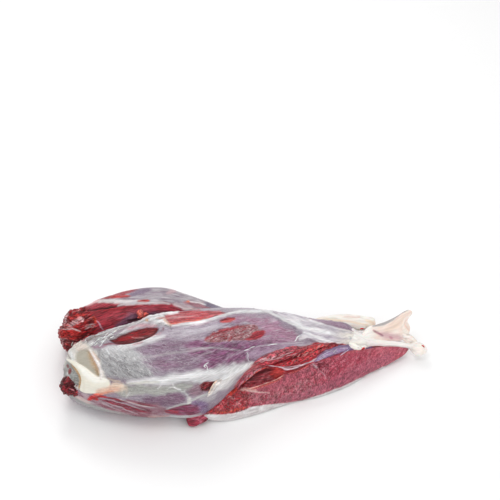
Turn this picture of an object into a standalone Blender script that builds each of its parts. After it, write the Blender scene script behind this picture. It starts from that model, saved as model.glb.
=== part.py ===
"""A raw boneless beef shank, lying on its underside as on a butcher's slab.

The shank is one piece of meat and so one solid: three muscles grown together, the tendons that they
run into at the hock end, and the pale ligament left at the knee end where the joint was cut away.
+X runs from the knee end to the hock end, +Y to the back, +Z up, and the underside lies on Z = 0.
Every size below is in millimetres and becomes metres through MM.
"""

import math

import bmesh
import bpy
import numpy as np
from mathutils import Matrix, Vector, noise

MM = 0.001
NODE = "beef_shank"

# Moves the middle of the finished outline onto the origin.
ORIGIN_SHIFT = (0.5, -23.7)

# A muscle is a row of ribs, each (x, y, z, half width, half height, roll in degrees).
# The first and last rib are the muscle's two tips, and a surface is drawn smoothly over all of them.
BELLY_RIBS = (
    (-197, 4, 25, 22, 18, 0),
    (-184, 1, 28, 33, 26, 0),
    (-159, -4, 32, 44, 33, 0),
    (-128, -4, 35, 53, 40, 0),
    (-85, 3, 36, 63, 45, 0),
    (-52, 5, 37, 65, 46, 0),
    (-23, 14, 39, 56, 44, 0),
    (-4, 23, 41, 46, 39, 0),
    (16, 32, 41, 37, 34, 0),
    (36, 38, 39, 30, 31, 0),
    (64, 43, 34, 25, 26, 0),
    (92, 50, 29, 18, 19, 0),
    (115, 55, 26, 13, 13, 0),
    (140, 58, 21, 8, 7, 0),
)
FRONT_RIBS = (
    (-62, -29, 15, 13, 12, 50),
    (-45, -32, 14, 17, 15, 48),
    (-25, -30, 12, 20, 17, 46),
    (8, -22, 9, 19.5, 16, 44),
    (35, -12, 8, 18, 15, 44),
    (62, 0, 10, 21, 16, 44),
    (90, 10, 10.5, 21.5, 16, 44),
    (118, 22, 11, 19, 13, 44),
    (144, 35, 9.5, 14, 10, 44),
    (168, 46, 7.5, 8.5, 6.5, 44),
    (186, 54, 7, 4, 4, 44),
)
BACK_RIBS = (
    (-209, 64, 22, 11, 13, 0),
    (-199, 63, 26, 22, 22, 0),
    (-185, 59, 28, 28, 27, 0),
    (-165, 65, 31, 32, 30, 0),
    (-118, 78, 34, 30, 34, 0),
    (-90, 82, 34, 27, 33, 0),
    (-67, 79, 34, 24, 29, 0),
    (-44, 73, 34, 20, 24, 0),
    (-21, 67, 34, 18, 19, 0),
    (10, 56, 34, 14, 14, 0),
)
HEEL_TENDON_RIBS = (
    (84, 52, 30, 8, 8, 0),
    (104, 54, 27, 12, 11, 0),
    (121, 55, 25, 13, 11, 10),
    (135, 55, 21, 9.5, 9, 20),
    (147, 58, 18, 6.5, 6, 30),
    (161, 57, 15, 5, 4.5, 30),
    (178, 56, 14, 4, 4, 30),
    (192, 55, 13, 5, 4.5, 40),
    (201, 52, 11, 8, 6, 45),
    (208, 51, 10, 8, 6, 45),
)
TENDON_WEB_RIBS = (
    (128, 61, 24, 10, 5, 30),
    (140, 62, 23, 10.5, 5, 40),
    (153, 64, 24, 10.5, 3.5, 44),
    (165, 66, 26, 12, 3, 46),
    (176, 68, 28, 16, 2.5, 47),
    (185, 72, 32, 18, 2.5, 47),
    (192, 77, 37, 15, 2.5, 47),
)
SIDE_TENDON_RIBS = (
    (62, 62, 36, 8, 6, 0),
    (85, 71, 32, 9, 6, 0),
    (105, 79, 28, 10, 6.5, 0),
    (123, 82, 24, 11, 7, 0),
    (140, 84, 21, 10, 6.5, 0),
    (153, 87, 19, 7, 5.5, 0),
)
KNEE_STUB_RIBS = (
    (-191, -27, 31, 9, 9, 20),
    (-182, -27, 32, 11, 11, 20),
    (-170, -24, 33, 12, 12, 20),
    (-158, -18, 34, 12, 12, 20),
)
LIGAMENT_RIBS = (
    (-187, -4, 50, 6, 5, 60),
    (-183, -19, 50, 7, 6, 60),
    (-173, -32, 50, 9, 7, 50),
    (-156, -39, 52, 10, 7, 45),
    (-140, -43, 55, 8, 5, 45),
    (-122, -45, 58, 5, 3, 45),
)
SCRAP_RIBS = (
    (-61, -50, 7, 6, 3, 35),
    (-55, -50, 7.5, 9, 3.5, 35),
    (-46, -48, 8, 8, 3.5, 35),
    (-36, -44, 9, 6, 3, 35),
)
DEEP_RIBS = (
    (-60, 10, 16, 34, 20, 0),
    (0, 14, 16, 34, 22, 0),
    (45, 24, 14, 30, 20, 0),
    (90, 38, 12, 22, 17, 0),
    (125, 48, 11, 15, 11, 0),
    (150, 52, 11, 10, 7, 0),
    (174, 54, 10, 7, 5, 0),
)

# Hollows pressed into the surface, each (x, y, z, half length, half width, half height, turn about Z
# in degrees): the open window in the silvery skin, the two recesses at the knee end where the bone
# lay, and the nick at the start of the cut face.
HOLLOWS = (
    (-119, 5, 82, 34, 13, 12, 18),
    (-168, -16, 65, 13, 17, 10, 20),
    (-187, -17, 43, 7, 11, 9, 10),
    (-33, -50, 57, 11, 7, 8, 20),
)

# Places where the flesh is torn or cut across and stands in crags, each (x, y, z, radius).
CRAGS = (
    (-198, 58, 36, 34),
    (-188, -33, 28, 20),
    (-26, -42, 24, 26),
    (60, 18, 28, 34),
)
CRAG_DEPTH = 2.2
CRAG_SPAN = 8.0

# Rounded length of a muscle's first and last tip, as shares of its whole length.
BLUNT = 0.04
ROUND = 0.12

# Superellipse exponent of a rib: 2 is an ellipse, more is squarer.
RIB_SQUARENESS = 2.25

# The soft unevenness of raw meat.
SWELL = 1.6
SWELL_SPAN = 34.0

RED_MEAT = (0.36, 0.03, 0.035, 1.0)
MEAT_ROUGHNESS = 0.35

TABLE_CUT = 60.0


def hermite(stations, rows, at):
    """Smooth values of rows, one for each station, at the places in at."""
    slopes = np.gradient(rows, stations, axis=0)
    left = np.clip(np.searchsorted(stations, at, side="right") - 1, 0, len(stations) - 2)
    span = (stations[left + 1] - stations[left])[:, None]
    s = (at - stations[left])[:, None] / span
    return (
        (2 * s**3 - 3 * s**2 + 1) * rows[left]
        + (s**3 - 2 * s**2 + s) * span * slopes[left]
        + (3 * s**2 - 2 * s**3) * rows[left + 1]
        + (s**3 - s**2) * span * slopes[left + 1]
    )


def muscle(name, ribs, around, along, tips, swell=SWELL):
    """A closed spindle drawn over its ribs, from a sphere whose rings are moved onto them."""
    ribs = np.array(ribs, float)
    steps = np.linalg.norm(np.diff(ribs[:, :3], axis=0), axis=1)
    stations = np.concatenate([[0], np.cumsum(steps)]) / steps.sum()
    bm = bmesh.new()
    bmesh.ops.create_uvsphere(bm, u_segments=around, v_segments=along, radius=1)
    bm.verts.ensure_lookup_table()
    ball = np.array([v.co for v in bm.verts])
    turn = np.arccos(np.clip(ball[:, 2], -1, 1))
    share = 0.5 * turn / math.pi + 0.25 * (1 - np.cos(turn))
    first, last = tips
    nearness = np.minimum(np.minimum(share / first, (1 - share) / last), 1)
    rounding = np.sqrt(np.clip(1 - (1 - nearness) ** 2, 0, 1))
    angle = np.arctan2(ball[:, 1], ball[:, 0])
    power = 2 / RIB_SQUARENESS
    across = np.sign(np.cos(angle)) * np.abs(np.cos(angle)) ** power
    above = np.sign(np.sin(angle)) * np.abs(np.sin(angle)) ** power
    x, y, z, wide, high, roll = hermite(stations, ribs, share).T
    roll = np.radians(roll)
    wide, high = wide * rounding * across, high * rounding * above
    points = np.stack(
        [x, y + wide * np.cos(roll) - high * np.sin(roll), z + wide * np.sin(roll) + high * np.cos(roll)],
        axis=1,
    )
    centres = np.stack([x, y, z], axis=1)
    for vert, point, centre in zip(bm.verts, points, centres):
        out = Vector(point - centre)
        lift = swell * noise.noise(Vector(point) / SWELL_SPAN)
        lift += CRAG_DEPTH * cragginess(point) * noise.noise(Vector(point) / CRAG_SPAN)
        vert.co = (Vector(point) + out.normalized() * lift) * MM
    bmesh.ops.recalc_face_normals(bm, faces=bm.faces)
    return finished(name, bm)


def cragginess(point):
    """How torn the flesh is at a point, from 0 to 1."""
    most = 0
    for crag in CRAGS:
        away = np.linalg.norm(point - np.array(crag[:3])) / crag[3]
        most = max(most, min(1, 2 * (1 - away)))
    return most


def hollow(x, y, z, long, wide, high, turn):
    """An ellipsoid that is cut away from the meat."""
    bm = bmesh.new()
    bmesh.ops.create_uvsphere(bm, u_segments=24, v_segments=12, radius=MM)
    place = Matrix.Translation((x * MM, y * MM, z * MM)) @ Matrix.Rotation(math.radians(turn), 4, "Z")
    bmesh.ops.transform(bm, matrix=place @ Matrix.Diagonal((long, wide, high, 1)), verts=bm.verts)
    return finished("hollow", bm)


def raw_meat():
    """The moist dark red of uncooked beef."""
    material = bpy.data.materials.new("raw_meat")
    material.use_nodes = True
    shader = material.node_tree.nodes["Principled BSDF"]
    shader.inputs["Base Color"].default_value = RED_MEAT
    shader.inputs["Roughness"].default_value = MEAT_ROUGHNESS
    shader.inputs["Metallic"].default_value = 0
    return material


def finished(name, bm):
    """The object of a bmesh, in the scene."""
    mesh = bpy.data.meshes.new(name)
    bm.to_mesh(mesh)
    bm.free()
    thing = bpy.data.objects.new(name, mesh)
    bpy.context.scene.collection.objects.link(thing)
    return thing


def joined(body, others, operation):
    """body after one Boolean with a collection of the others, which are then removed."""
    group = bpy.data.collections.new("operands")
    bpy.context.scene.collection.children.link(group)
    for other in others:
        bpy.context.scene.collection.objects.unlink(other)
        group.objects.link(other)
    boolean = body.modifiers.new("join", "BOOLEAN")
    boolean.operation = operation
    boolean.operand_type = "COLLECTION"
    boolean.collection = group
    boolean.solver = "EXACT"
    bpy.context.view_layer.update()
    graph = bpy.context.evaluated_depsgraph_get()
    made = bpy.data.meshes.new_from_object(body.evaluated_get(graph))
    body.modifiers.clear()
    body.data = made
    for other in list(group.objects):
        bpy.data.objects.remove(other)
    bpy.data.collections.remove(group)
    return body


def table():
    """A block below Z = 0, which gives the meat the flat underside that it rests on."""
    bm = bmesh.new()
    bmesh.ops.create_cube(bm, size=1)
    size = Matrix.Diagonal((600 * MM, 400 * MM, TABLE_CUT * MM, 1))
    bmesh.ops.transform(bm, matrix=Matrix.Translation((0, 0, -TABLE_CUT / 2 * MM)) @ size, verts=bm.verts)
    return finished("table", bm)


def main():
    for old in list(bpy.data.objects):
        bpy.data.objects.remove(old)
    shank = muscle(NODE, BELLY_RIBS, 42, 60, (BLUNT, BLUNT))
    others = [
        muscle("front_muscle", FRONT_RIBS, 30, 44, (ROUND, BLUNT)),
        muscle("back_muscle", BACK_RIBS, 30, 40, (BLUNT, ROUND)),
        muscle("knee_stub", KNEE_STUB_RIBS, 20, 14, (ROUND, ROUND)),
        muscle("ligament", LIGAMENT_RIBS, 14, 22, (ROUND, ROUND), 0.5),
        muscle("scrap", SCRAP_RIBS, 12, 10, (ROUND, ROUND), 0.5),
        muscle("deep_muscle", DEEP_RIBS, 24, 26, (ROUND, ROUND)),
        muscle("heel_tendon", HEEL_TENDON_RIBS, 16, 26, (ROUND, ROUND), 0.5),
        muscle("tendon_web", TENDON_WEB_RIBS, 16, 16, (ROUND, ROUND), 0.5),
        muscle("side_tendon", SIDE_TENDON_RIBS, 12, 14, (ROUND, BLUNT), 0.5),
    ]
    joined(shank, others, "UNION")
    joined(shank, [table()] + [hollow(*each) for each in HOLLOWS], "DIFFERENCE")
    shank.data.transform(Matrix.Translation((ORIGIN_SHIFT[0] * MM, ORIGIN_SHIFT[1] * MM, 0)))
    shank.data.materials.clear()
    shank.data.materials.append(raw_meat())


main()
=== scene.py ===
# %% [markdown]
# # A raw beef shank
#
# A boneless shank is a bundle of muscles that run into tendons at the hock. The butcher has cut some
# of them open, so they show dark, fibrous flesh. The big one still wears its silverskin, a tough wet
# membrane that lets the purple meat glow through.
#
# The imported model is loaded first. It fixes the size and the place of everything below.

# %% The frame
import math

import bmesh
import bpy
import numpy as np
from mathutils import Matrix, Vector, noise
from mathutils.bvhtree import BVHTree


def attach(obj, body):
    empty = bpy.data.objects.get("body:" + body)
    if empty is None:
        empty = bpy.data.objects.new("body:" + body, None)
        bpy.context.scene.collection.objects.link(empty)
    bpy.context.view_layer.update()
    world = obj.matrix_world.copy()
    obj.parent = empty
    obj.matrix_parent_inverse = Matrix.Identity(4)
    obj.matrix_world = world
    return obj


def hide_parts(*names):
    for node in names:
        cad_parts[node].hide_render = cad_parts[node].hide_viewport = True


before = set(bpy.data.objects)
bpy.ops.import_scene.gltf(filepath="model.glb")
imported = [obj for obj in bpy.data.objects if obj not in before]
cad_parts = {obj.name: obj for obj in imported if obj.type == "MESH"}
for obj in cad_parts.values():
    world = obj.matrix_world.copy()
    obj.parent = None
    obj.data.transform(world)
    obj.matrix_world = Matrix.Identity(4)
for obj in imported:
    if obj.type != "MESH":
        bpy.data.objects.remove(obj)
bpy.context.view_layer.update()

# %% [markdown]
# ## The camera
#
# The shank is seen from 40 degrees above, through a lens long enough to keep it from looking
# distorted. All lengths below are in millimetres, and MM turns them into metres.
# DRAWN_FROM is the corner that the muscles' own measures start at, and moves them into the frame.

# %% The camera
MM = 0.001
DRAWN_FROM = np.array([0.5, -23.7, 0.0])
EYE = np.array([7.6, -905.17, 961.16])
LOOK_DOWN = math.radians(40)
LENS = 85
SENSOR = 36
PICTURE = 500

camera = bpy.data.objects.new("camera", bpy.data.cameras.new("camera"))
camera.data.lens = LENS
camera.data.sensor_width = SENSOR
camera.location = (EYE + DRAWN_FROM) * MM
camera.rotation_euler = (math.pi / 2 - LOOK_DOWN, 0, 0)
bpy.context.scene.collection.objects.link(camera)
bpy.context.scene.camera = camera

RIGHTWARD = np.array([1.0, 0, 0])
FORWARD = np.array([0, math.cos(LOOK_DOWN), -math.sin(LOOK_DOWN)])
UPWARD = np.array([0, math.sin(LOOK_DOWN), math.cos(LOOK_DOWN)])
PIXELS = PICTURE * LENS / SENSOR


def in_picture(points):
    """Where points, in millimetres, show in the 500 pixel picture: (right, down)."""
    away = points - EYE
    scale = PIXELS / (away @ FORWARD)
    return np.stack([PICTURE / 2 + scale * away[:, 0], PICTURE / 2 - scale * (away @ UPWARD)], axis=1)


print("camera at", [round(c, 3) for c in camera.location])

# %% [markdown]
# ## Floor and light
#
# A white floor under an even white sky, as in a light tent, and three soft lamps. The one behind
# the shank makes the wet skin shine towards the camera. Far out the floor sweeps up into a wall, so
# that no horizon shows from low down: half its outline is drawn, and spun round the middle.

# %% Floor and light
def area_light(name, at, towards, size, power):
    """A soft square light."""
    lamp = bpy.data.lights.new(name, "AREA")
    lamp.size = size
    lamp.energy = power
    thing = bpy.data.objects.new(name, lamp)
    thing.location = at
    thing.rotation_euler = (Vector(towards) - Vector(at)).to_track_quat("-Z", "Y").to_euler()
    bpy.context.scene.collection.objects.link(thing)


area_light("back_light", (-0.25, 0.95, 0.95), (0, 0, 0), 0.5, 3.5)
area_light("top_light", (-0.35, -0.2, 1.3), (0, 0, 0), 0.6, 3)
area_light("front_light", (0.6, -1.1, 0.8), (0, 0, 0), 0.8, 2.5)

SKY = 0.8
world = bpy.data.worlds.new("studio")
world.use_nodes = True
world.node_tree.nodes["Background"].inputs["Color"].default_value = (1, 1, 1, 1)
world.node_tree.nodes["Background"].inputs["Strength"].default_value = SKY
bpy.context.scene.world = world
bpy.context.scene.view_settings.view_transform = "Standard"

FLOOR_REACH = 2.6
SWEEP = 1.2
SWEEP_STEPS = 12
FLOOR_SIDES = 96
BELOW_MEAT = -0.0005
profile = [(0, 0, BELOW_MEAT), (FLOOR_REACH, 0, BELOW_MEAT)]
for step in range(1, SWEEP_STEPS + 1):
    turn = 0.5 * math.pi * step / SWEEP_STEPS
    profile.append((FLOOR_REACH + SWEEP * math.sin(turn), 0, SWEEP * (1 - math.cos(turn)) + BELOW_MEAT))
bm = bmesh.new()
corners = [bm.verts.new(place) for place in profile]
for inner, outer in zip(corners, corners[1:]):
    bm.edges.new((inner, outer))
outline = bm.verts[:] + bm.edges[:]
bmesh.ops.spin(bm, geom=outline, axis=(0, 0, 1), angle=2 * math.pi, steps=FLOOR_SIDES, use_merge=True)
bmesh.ops.remove_doubles(bm, verts=bm.verts[:], dist=0.0001)
bmesh.ops.recalc_face_normals(bm, faces=bm.faces[:])
floor_mesh = bpy.data.meshes.new("floor")
bm.to_mesh(floor_mesh)
bm.free()
floor_mesh.shade_smooth()
floor = bpy.data.objects.new("floor", floor_mesh)
bpy.context.scene.collection.objects.link(floor)
floor_paint = bpy.data.materials.new("floor")
floor_paint.use_nodes = True
floor_shader = floor_paint.node_tree.nodes["Principled BSDF"]
floor_shader.inputs["Base Color"].default_value = (0.95, 0.95, 0.95, 1)
floor_shader.inputs["Roughness"].default_value = 0.6
floor.data.materials.append(floor_paint)
print("floor and three lights")

# %% [markdown]
# ## The muscles' form
#
# A muscle is a spindle. Its ribs are cross sections, each (x, y, z, half width, half height, roll in
# degrees) in millimetres, and a smooth curve runs through them. They are the ribs of the packed
# solid, so that the fine surface lies on it, drawn a little truer at the knee and the hock.
# BLUNT and ROUND say over how much of its length a muscle closes at its end.

# %% The ribs
BELLY_RIBS = (
    (-197.5, -1, 26, 26, 20, 0),
    (-185, -1, 28, 33, 26, 0),
    (-159, -4, 32, 44, 33, 0),
    (-128, -4, 35, 53, 40, 0),
    (-85, 3, 36, 63, 45, 0),
    (-52, 5, 37, 65, 46, 0),
    (-23, 14, 39, 56, 44, 0),
    (-4, 23, 41, 46, 39, 0),
    (16, 32, 41, 37, 34, 0),
    (36, 38, 39, 30, 31, 0),
    (64, 43, 34, 25, 26, 0),
    (92, 51, 29.5, 19, 20, 0),
    (115, 56.5, 26.5, 14.5, 14.5, 0),
    (140, 58, 21, 8, 7, 0),
)
FRONT_RIBS = (
    (-62, -29, 15, 13, 12, 50),
    (-45, -32, 14, 17, 15, 48),
    (-25, -30, 12, 20, 17, 46),
    (8, -22, 9, 19.5, 16, 44),
    (35, -12, 8, 18, 15, 44),
    (62, 0, 10, 21, 16, 44),
    (90, 10, 10.5, 21.5, 16, 44),
    (118, 22, 11, 19, 13, 44),
    (144, 35, 9.5, 14, 10, 44),
    (168, 46.5, 7.5, 9.5, 7, 44),
    (189, 55.5, 7.5, 5.5, 5, 44),
)
BACK_RIBS = (
    (-209, 64, 22, 11, 13, 0),
    (-199, 63, 26, 22, 22, 0),
    (-185, 59, 28, 28, 27, 0),
    (-165, 65, 31, 32, 30, 0),
    (-118, 78, 34, 30, 34, 0),
    (-90, 82, 34, 27, 33, 0),
    (-67, 79, 34, 24, 29, 0),
    (-44, 73, 34, 20, 24, 0),
    (-21, 67, 34, 18, 19, 0),
    (10, 56, 34, 14, 14, 0),
)
HEEL_TENDON_RIBS = (
    (84, 52, 30, 8, 8, 0),
    (104, 54, 27, 12, 11, 0),
    (121, 55, 25, 13, 11, 10),
    (135, 54, 20, 9.5, 9, 20),
    (147, 55.5, 16.5, 6.6, 6.2, 30),
    (161, 55.6, 14, 5.2, 4.8, 30),
    (178, 56, 13.6, 4.2, 4.2, 30),
    (189.5, 54.8, 12.6, 4.2, 4, 40),
    (193, 52.6, 11.6, 7.2, 6.6, 45),
    (198, 51.8, 11, 8.6, 7.6, 45),
    (204, 51.4, 10.8, 8.8, 7.6, 45),
    (209.5, 51.2, 10.8, 7.6, 6.8, 45),
)
TENDON_WEB_RIBS = (
    (133, 58, 20, 6, 4, 36),
    (142, 61.5, 22.5, 10, 4.8, 40),
    (153, 64, 24, 10.5, 3.5, 44),
    (165, 66, 26, 12, 3, 46),
    (176, 68, 28, 15, 2.5, 47),
    (185, 71.5, 31.5, 16, 2.5, 47),
    (192, 75, 35, 13, 2.5, 47),
)
WEB_FOOT_RIBS = (
    (176, 66, 24, 4, 2.2, 46),
    (183, 63, 21, 6, 2.2, 46),
    (190, 59, 17, 5, 2.4, 44),
    (198, 54.5, 13.5, 3, 2.6, 42),
)
SIDE_TENDON_RIBS = (
    (40, 50, 40, 4, 3, 0),
    (60, 60, 36, 5, 3, 0),
    (74, 66.5, 34, 7, 4, 0),
    (88, 73, 31.5, 8, 5.6, 0),
    (105, 80, 27.8, 8.8, 6.4, 0),
    (123, 82.5, 24.4, 10, 7, 0),
    (140, 84, 21, 9.5, 6.5, 0),
    (153, 87, 19, 7, 5.5, 0),
)
KNEE_STUB_RIBS = (
    (-197, -25, 32, 8, 7.5, 20),
    (-190, -26, 33, 10.4, 9.4, 20),
    (-178, -26, 34, 13, 11, 20),
    (-160, -18, 34, 13, 12, 20),
)
SCRAP_RIBS = (
    (-61, -50, 7, 6, 3, 35),
    (-55, -50, 7.5, 9, 3.5, 35),
    (-46, -48, 8, 8, 3.5, 35),
    (-36, -44, 9, 6, 3, 35),
)
DEEP_RIBS = (
    (-60, 10, 16, 34, 20, 0),
    (0, 14, 16, 34, 22, 0),
    (45, 24, 14, 30, 20, 0),
    (90, 38, 12, 22, 17, 0),
    (125, 48, 11, 15, 11, 0),
    (150, 52, 11, 10, 7, 0),
    (174, 54, 10, 7, 5, 0),
)
BLUNT = 0.04
ROUND = 0.12
RIB_SQUARENESS = 2.25
SWELL = 1.6
SWELL_SPAN = 34.0
print("ribs for ten muscles and tendons")


# %% [markdown]
# ## Brushes
#
# The surface is worked like clay under a sculptor's brushes, but in numbers: each brush is a mask
# with a value from 0 to 1 at every vertex. A mask can lift or press the surface, and it can lay
# colour on it. Some masks are blots with an outline, some are strokes along a line, some are noise.
# A last kind splits the flesh into bundles of fibres, as a knife across the grain shows them.

# %% Noise
def smooth(low, high, value):
    """0 below low, 1 above high, and a soft step between."""
    share = np.clip((value - low) / (high - low), 0, 1)
    return share * share * (3 - 2 * share)


def scatter(cell, seed):
    """A random number from 0 to 1 for each whole-numbered place."""
    mixed = cell[:, 0] * 73856093 ^ cell[:, 1] * 19349663 ^ cell[:, 2] * 83492791 ^ seed * 2654435761
    mixed = (mixed ^ mixed >> 13) * 1274126177 & 0xFFFFFFFF
    return ((mixed ^ mixed >> 16) & 0xFFFF) / 65535


def speckle(points, seed):
    """Soft random noise from -1 to 1, whose bumps are about one unit apart."""
    cell = np.floor(points).astype(np.int64)
    part = points - cell
    part = part * part * (3 - 2 * part)
    total = np.zeros(len(points))
    for corner in range(8):
        step = np.array([corner & 1, corner >> 1 & 1, corner >> 2])
        weight = np.where(step == 1, part, 1 - part).prod(axis=1)
        total += weight * (2 * scatter(cell + step, seed) - 1)
    return total


def cells(points, seed):
    """Random cells about one unit wide: 0 in the gaps between them rising inwards, and a tone for each."""
    home = np.floor(points).astype(np.int64)
    nearest = np.full(len(points), 9.0)
    second = np.full(len(points), 9.0)
    tone = np.zeros(len(points))
    for corner in range(27):
        cell = home + np.array([corner % 3, corner // 3 % 3, corner // 9]) - 1
        middle = cell + np.stack([scatter(cell, seed + axis) for axis in range(3)], axis=1)
        away = np.linalg.norm(middle - points, axis=1)
        closer = away < nearest
        second = np.where(closer, nearest, np.minimum(second, away))
        tone = np.where(closer, 2 * scatter(cell, seed + 3) - 1, tone)
        nearest = np.where(closer, away, nearest)
    return second - nearest, tone


def srgb(*parts):
    """A colour as a screen shows it, 0 to 255, made linear."""
    parts = np.array(parts) / 255
    return np.where(parts < 0.04045, parts / 12.92, ((parts + 0.055) / 1.055) ** 2.4)


# %% [markdown]
# Everything on the shank is long and bends, so it is drawn as ribs with a curve through them. The
# ribs carry the directions of their width and height, so that a muscle can roll as it runs.

# %% Curves through the ribs
def unit(rows):
    """Rows scaled to length one."""
    return rows / (np.linalg.norm(rows, axis=1, keepdims=True) + 1e-9)


def hermite(stations, rows, at):
    """Smooth values of rows, one for each station, at the places in at."""
    slopes = np.gradient(rows, stations, axis=0)
    left = np.clip(np.searchsorted(stations, at, side="right") - 1, 0, len(stations) - 2)
    span = (stations[left + 1] - stations[left])[:, None]
    s = (at - stations[left])[:, None] / span
    return (
        (2 * s**3 - 3 * s**2 + 1) * rows[left]
        + (s**3 - 2 * s**2 + s) * span * slopes[left]
        + (3 * s**2 - 2 * s**3) * rows[left + 1]
        + (s**3 - s**2) * span * slopes[left + 1]
    )


def upright(ribs):
    """Ribs across the shank, with the roll written as the directions of a rib's width and height."""
    ribs = np.array(ribs, float)
    roll = np.radians(ribs[:, 5])
    nought = np.zeros(len(ribs))
    width = np.stack([nought, np.cos(roll), np.sin(roll)], axis=1)
    height = np.stack([nought, -np.sin(roll), np.cos(roll)], axis=1)
    return np.concatenate([ribs[:, :5], width, height], axis=1)


def rounded(line):
    """A bent line with its corners rounded off."""
    line = np.array(line, float)
    for _ in range(2):
        inner = np.stack([0.75 * line[:-1] + 0.25 * line[1:], 0.25 * line[:-1] + 0.75 * line[1:]], axis=1)
        line = np.concatenate([line[:1], inner.reshape(-1, line.shape[1])[1:-1], line[-1:]])
    return line


# %% [markdown]
# A muscle starts as a sphere. Its poles go to the ends of the spindle and its rings onto the ribs,
# with more of them on the side that the camera sees. The sphere could be sculpted by hand instead,
# but a formula gives the same meat each time, and its vertices know how far along the muscle they are.
# A muscle is described in four steps, and each adds to the one before: its form, its grain, the masks
# drawn on it, and the colours laid on it.

# %% The form of a muscle
SEEN_SIDE = math.radians(135)


class Spindle:
    """A sphere stretched over ribs."""

    def __init__(self, name, ribs, around, along, tips, swell=SWELL, crowd=0.35):
        self.name = name
        bm = bmesh.new()
        bmesh.ops.create_uvsphere(bm, u_segments=around, v_segments=along, radius=1)
        self.mesh = bpy.data.meshes.new(name)
        bm.to_mesh(self.mesh)
        bm.free()
        self.stretch(ribs, tips, swell, crowd)
        self.normals = self.measure_normals()
        self.spot = in_picture(self.points)
        fray = speckle(self.points / 9, 2) + 0.5 * speckle(self.points / 3, 4)
        turned = (self.normals * unit(EYE - self.points)).sum(axis=1)
        self.facing = smooth(-0.3, 0.0, turned + 0.25 * fray)
        self.grazing = smooth(0.2, -0.1, turned)
        count = len(self.points)
        self.lift = np.zeros(count)
        self.colour = np.zeros((count, 3))
        self.flesh = np.zeros(count)
        self.marble = np.zeros(count)
        self.lean = np.zeros(count)

    def stretch(self, ribs, tips, swell, crowd):
        """Moves the sphere's vertices onto the ribs, and notes where in the muscle each one lies."""
        steps = np.linalg.norm(np.diff(ribs[:, :3], axis=0), axis=1)
        stations = np.concatenate([[0], np.cumsum(steps)]) / steps.sum()
        ball = self.read("vertices", "co")
        turn = np.arccos(np.clip(ball[:, 2], -1, 1))
        share = 0.5 * turn / math.pi + 0.25 * (1 - np.cos(turn))
        first, last = tips
        nearness = np.minimum(np.minimum(share / first, (1 - share) / last), 1)
        rounding = np.sqrt(np.clip(1 - (1 - nearness) ** 2, 0, 1))[:, None]
        angle = np.arctan2(ball[:, 1], ball[:, 0]) + math.pi / 2
        angle = angle - crowd * np.sin(angle - SEEN_SIDE) - crowd * math.sin(SEEN_SIDE - 1.5 * math.pi)
        power = 2 / RIB_SQUARENESS
        across = (np.sign(np.cos(angle)) * np.abs(np.cos(angle)) ** power)[:, None] * rounding
        above = (np.sign(np.sin(angle)) * np.abs(np.sin(angle)) ** power)[:, None] * rounding
        rows = hermite(stations, ribs, share)
        out = rows[:, 3:4] * across * unit(rows[:, 5:8])
        out += rows[:, 4:5] * above * unit(rows[:, 8:11])
        points = rows[:, :3] + out
        lift = np.array([noise.noise(Vector(p)) for p in points / SWELL_SPAN]) * swell
        self.points = points + unit(out) * lift[:, None]
        girth = np.sqrt(rows[:, 3:5].mean(axis=1) * ribs[:, 3:5].mean(axis=1).max())
        around_it = across[:, 0] * -math.sin(SEEN_SIDE) + above[:, 0] * math.cos(SEEN_SIDE)
        outwards = across[:, 0] * math.cos(SEEN_SIDE) + above[:, 0] * math.sin(SEEN_SIDE)
        self.flow = np.stack([share * steps.sum(), around_it * girth, outwards * girth], axis=1)

    def read(self, part, what):
        """A value of every vertex or corner of the mesh, as rows of three."""
        rows = np.zeros(len(getattr(self.mesh, part)) * 3, np.float32)
        getattr(self.mesh, part).foreach_get(what, rows)
        return rows.reshape(-1, 3).astype(float)

    def measure_normals(self):
        """The surface's outward directions, as it is now."""
        self.mesh.vertices.foreach_set("co", self.points.astype(np.float32).ravel())
        self.mesh.update()
        normals = self.read("vertices", "normal")
        if (normals * (self.points - self.points.mean(axis=0))).sum() < 0:
            self.mesh.flip_normals()
            normals = -normals
        return normals


# %% [markdown]
# Meat has a grain: everything in it is drawn out along the muscle. So its noise is read not where a
# vertex is in space, but where it lies in the muscle. On cut faces the grain follows the picture.

# %% The grain of a muscle
class Grained(Spindle):
    """A spindle with noise that runs with its fibres."""

    def weave(self, span, stretch, turn):
        """Where to read a noise with bumps of that span in mm, drawn out by stretch along the muscle.

        With a turn it is drawn out along a direction of the picture, so many degrees up from the right.
        """
        if turn is None:
            along, across, third = self.flow[:, 0], self.points[:, 1], self.points[:, 2]
        else:
            turn = math.radians(turn)
            along = self.spot[:, 0] * math.cos(turn) - self.spot[:, 1] * math.sin(turn)
            across = self.spot[:, 0] * math.sin(turn) + self.spot[:, 1] * math.cos(turn)
            third = self.points[:, 2] * 0.5
        return np.stack([along / stretch, across, third], axis=1) / span

    def grit(self, span, seed, stretch=1.0, turn=None):
        """Noise on the surface."""
        return speckle(self.weave(span, stretch, turn), seed)

    def bundles(self, mask, span, seed, stretch=1.0, turn=None):
        """Bundles of fibres where the mask is: 0 in the gaps between them rising to 1, and their tones."""
        raised = np.zeros(len(self.points))
        tone = np.zeros(len(self.points))
        near = mask > 0.01
        places = self.weave(span, stretch, turn)[near]
        bend = np.stack([speckle(places * 1.3, seed + axis) for axis in range(3)], axis=1)
        gap, tone[near] = cells(places + 0.35 * bend, seed)
        raised[near] = smooth(0.0, 0.45, gap)
        return raised, tone

    def rag(self, amount, span=6.0, seed=3):
        """The picture places of the vertices, moved about so that what is drawn there gets torn edges."""
        if not amount:
            return self.spot
        shift = [self.grit(span, seed) + 0.5 * self.grit(span / 2.3, seed + 1)]
        shift.append(self.grit(span, seed + 2) + 0.5 * self.grit(span / 2.3, seed + 3))
        return self.spot + amount * np.stack(shift, axis=1) * (1 + 5 * self.grazing[:, None])


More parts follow.
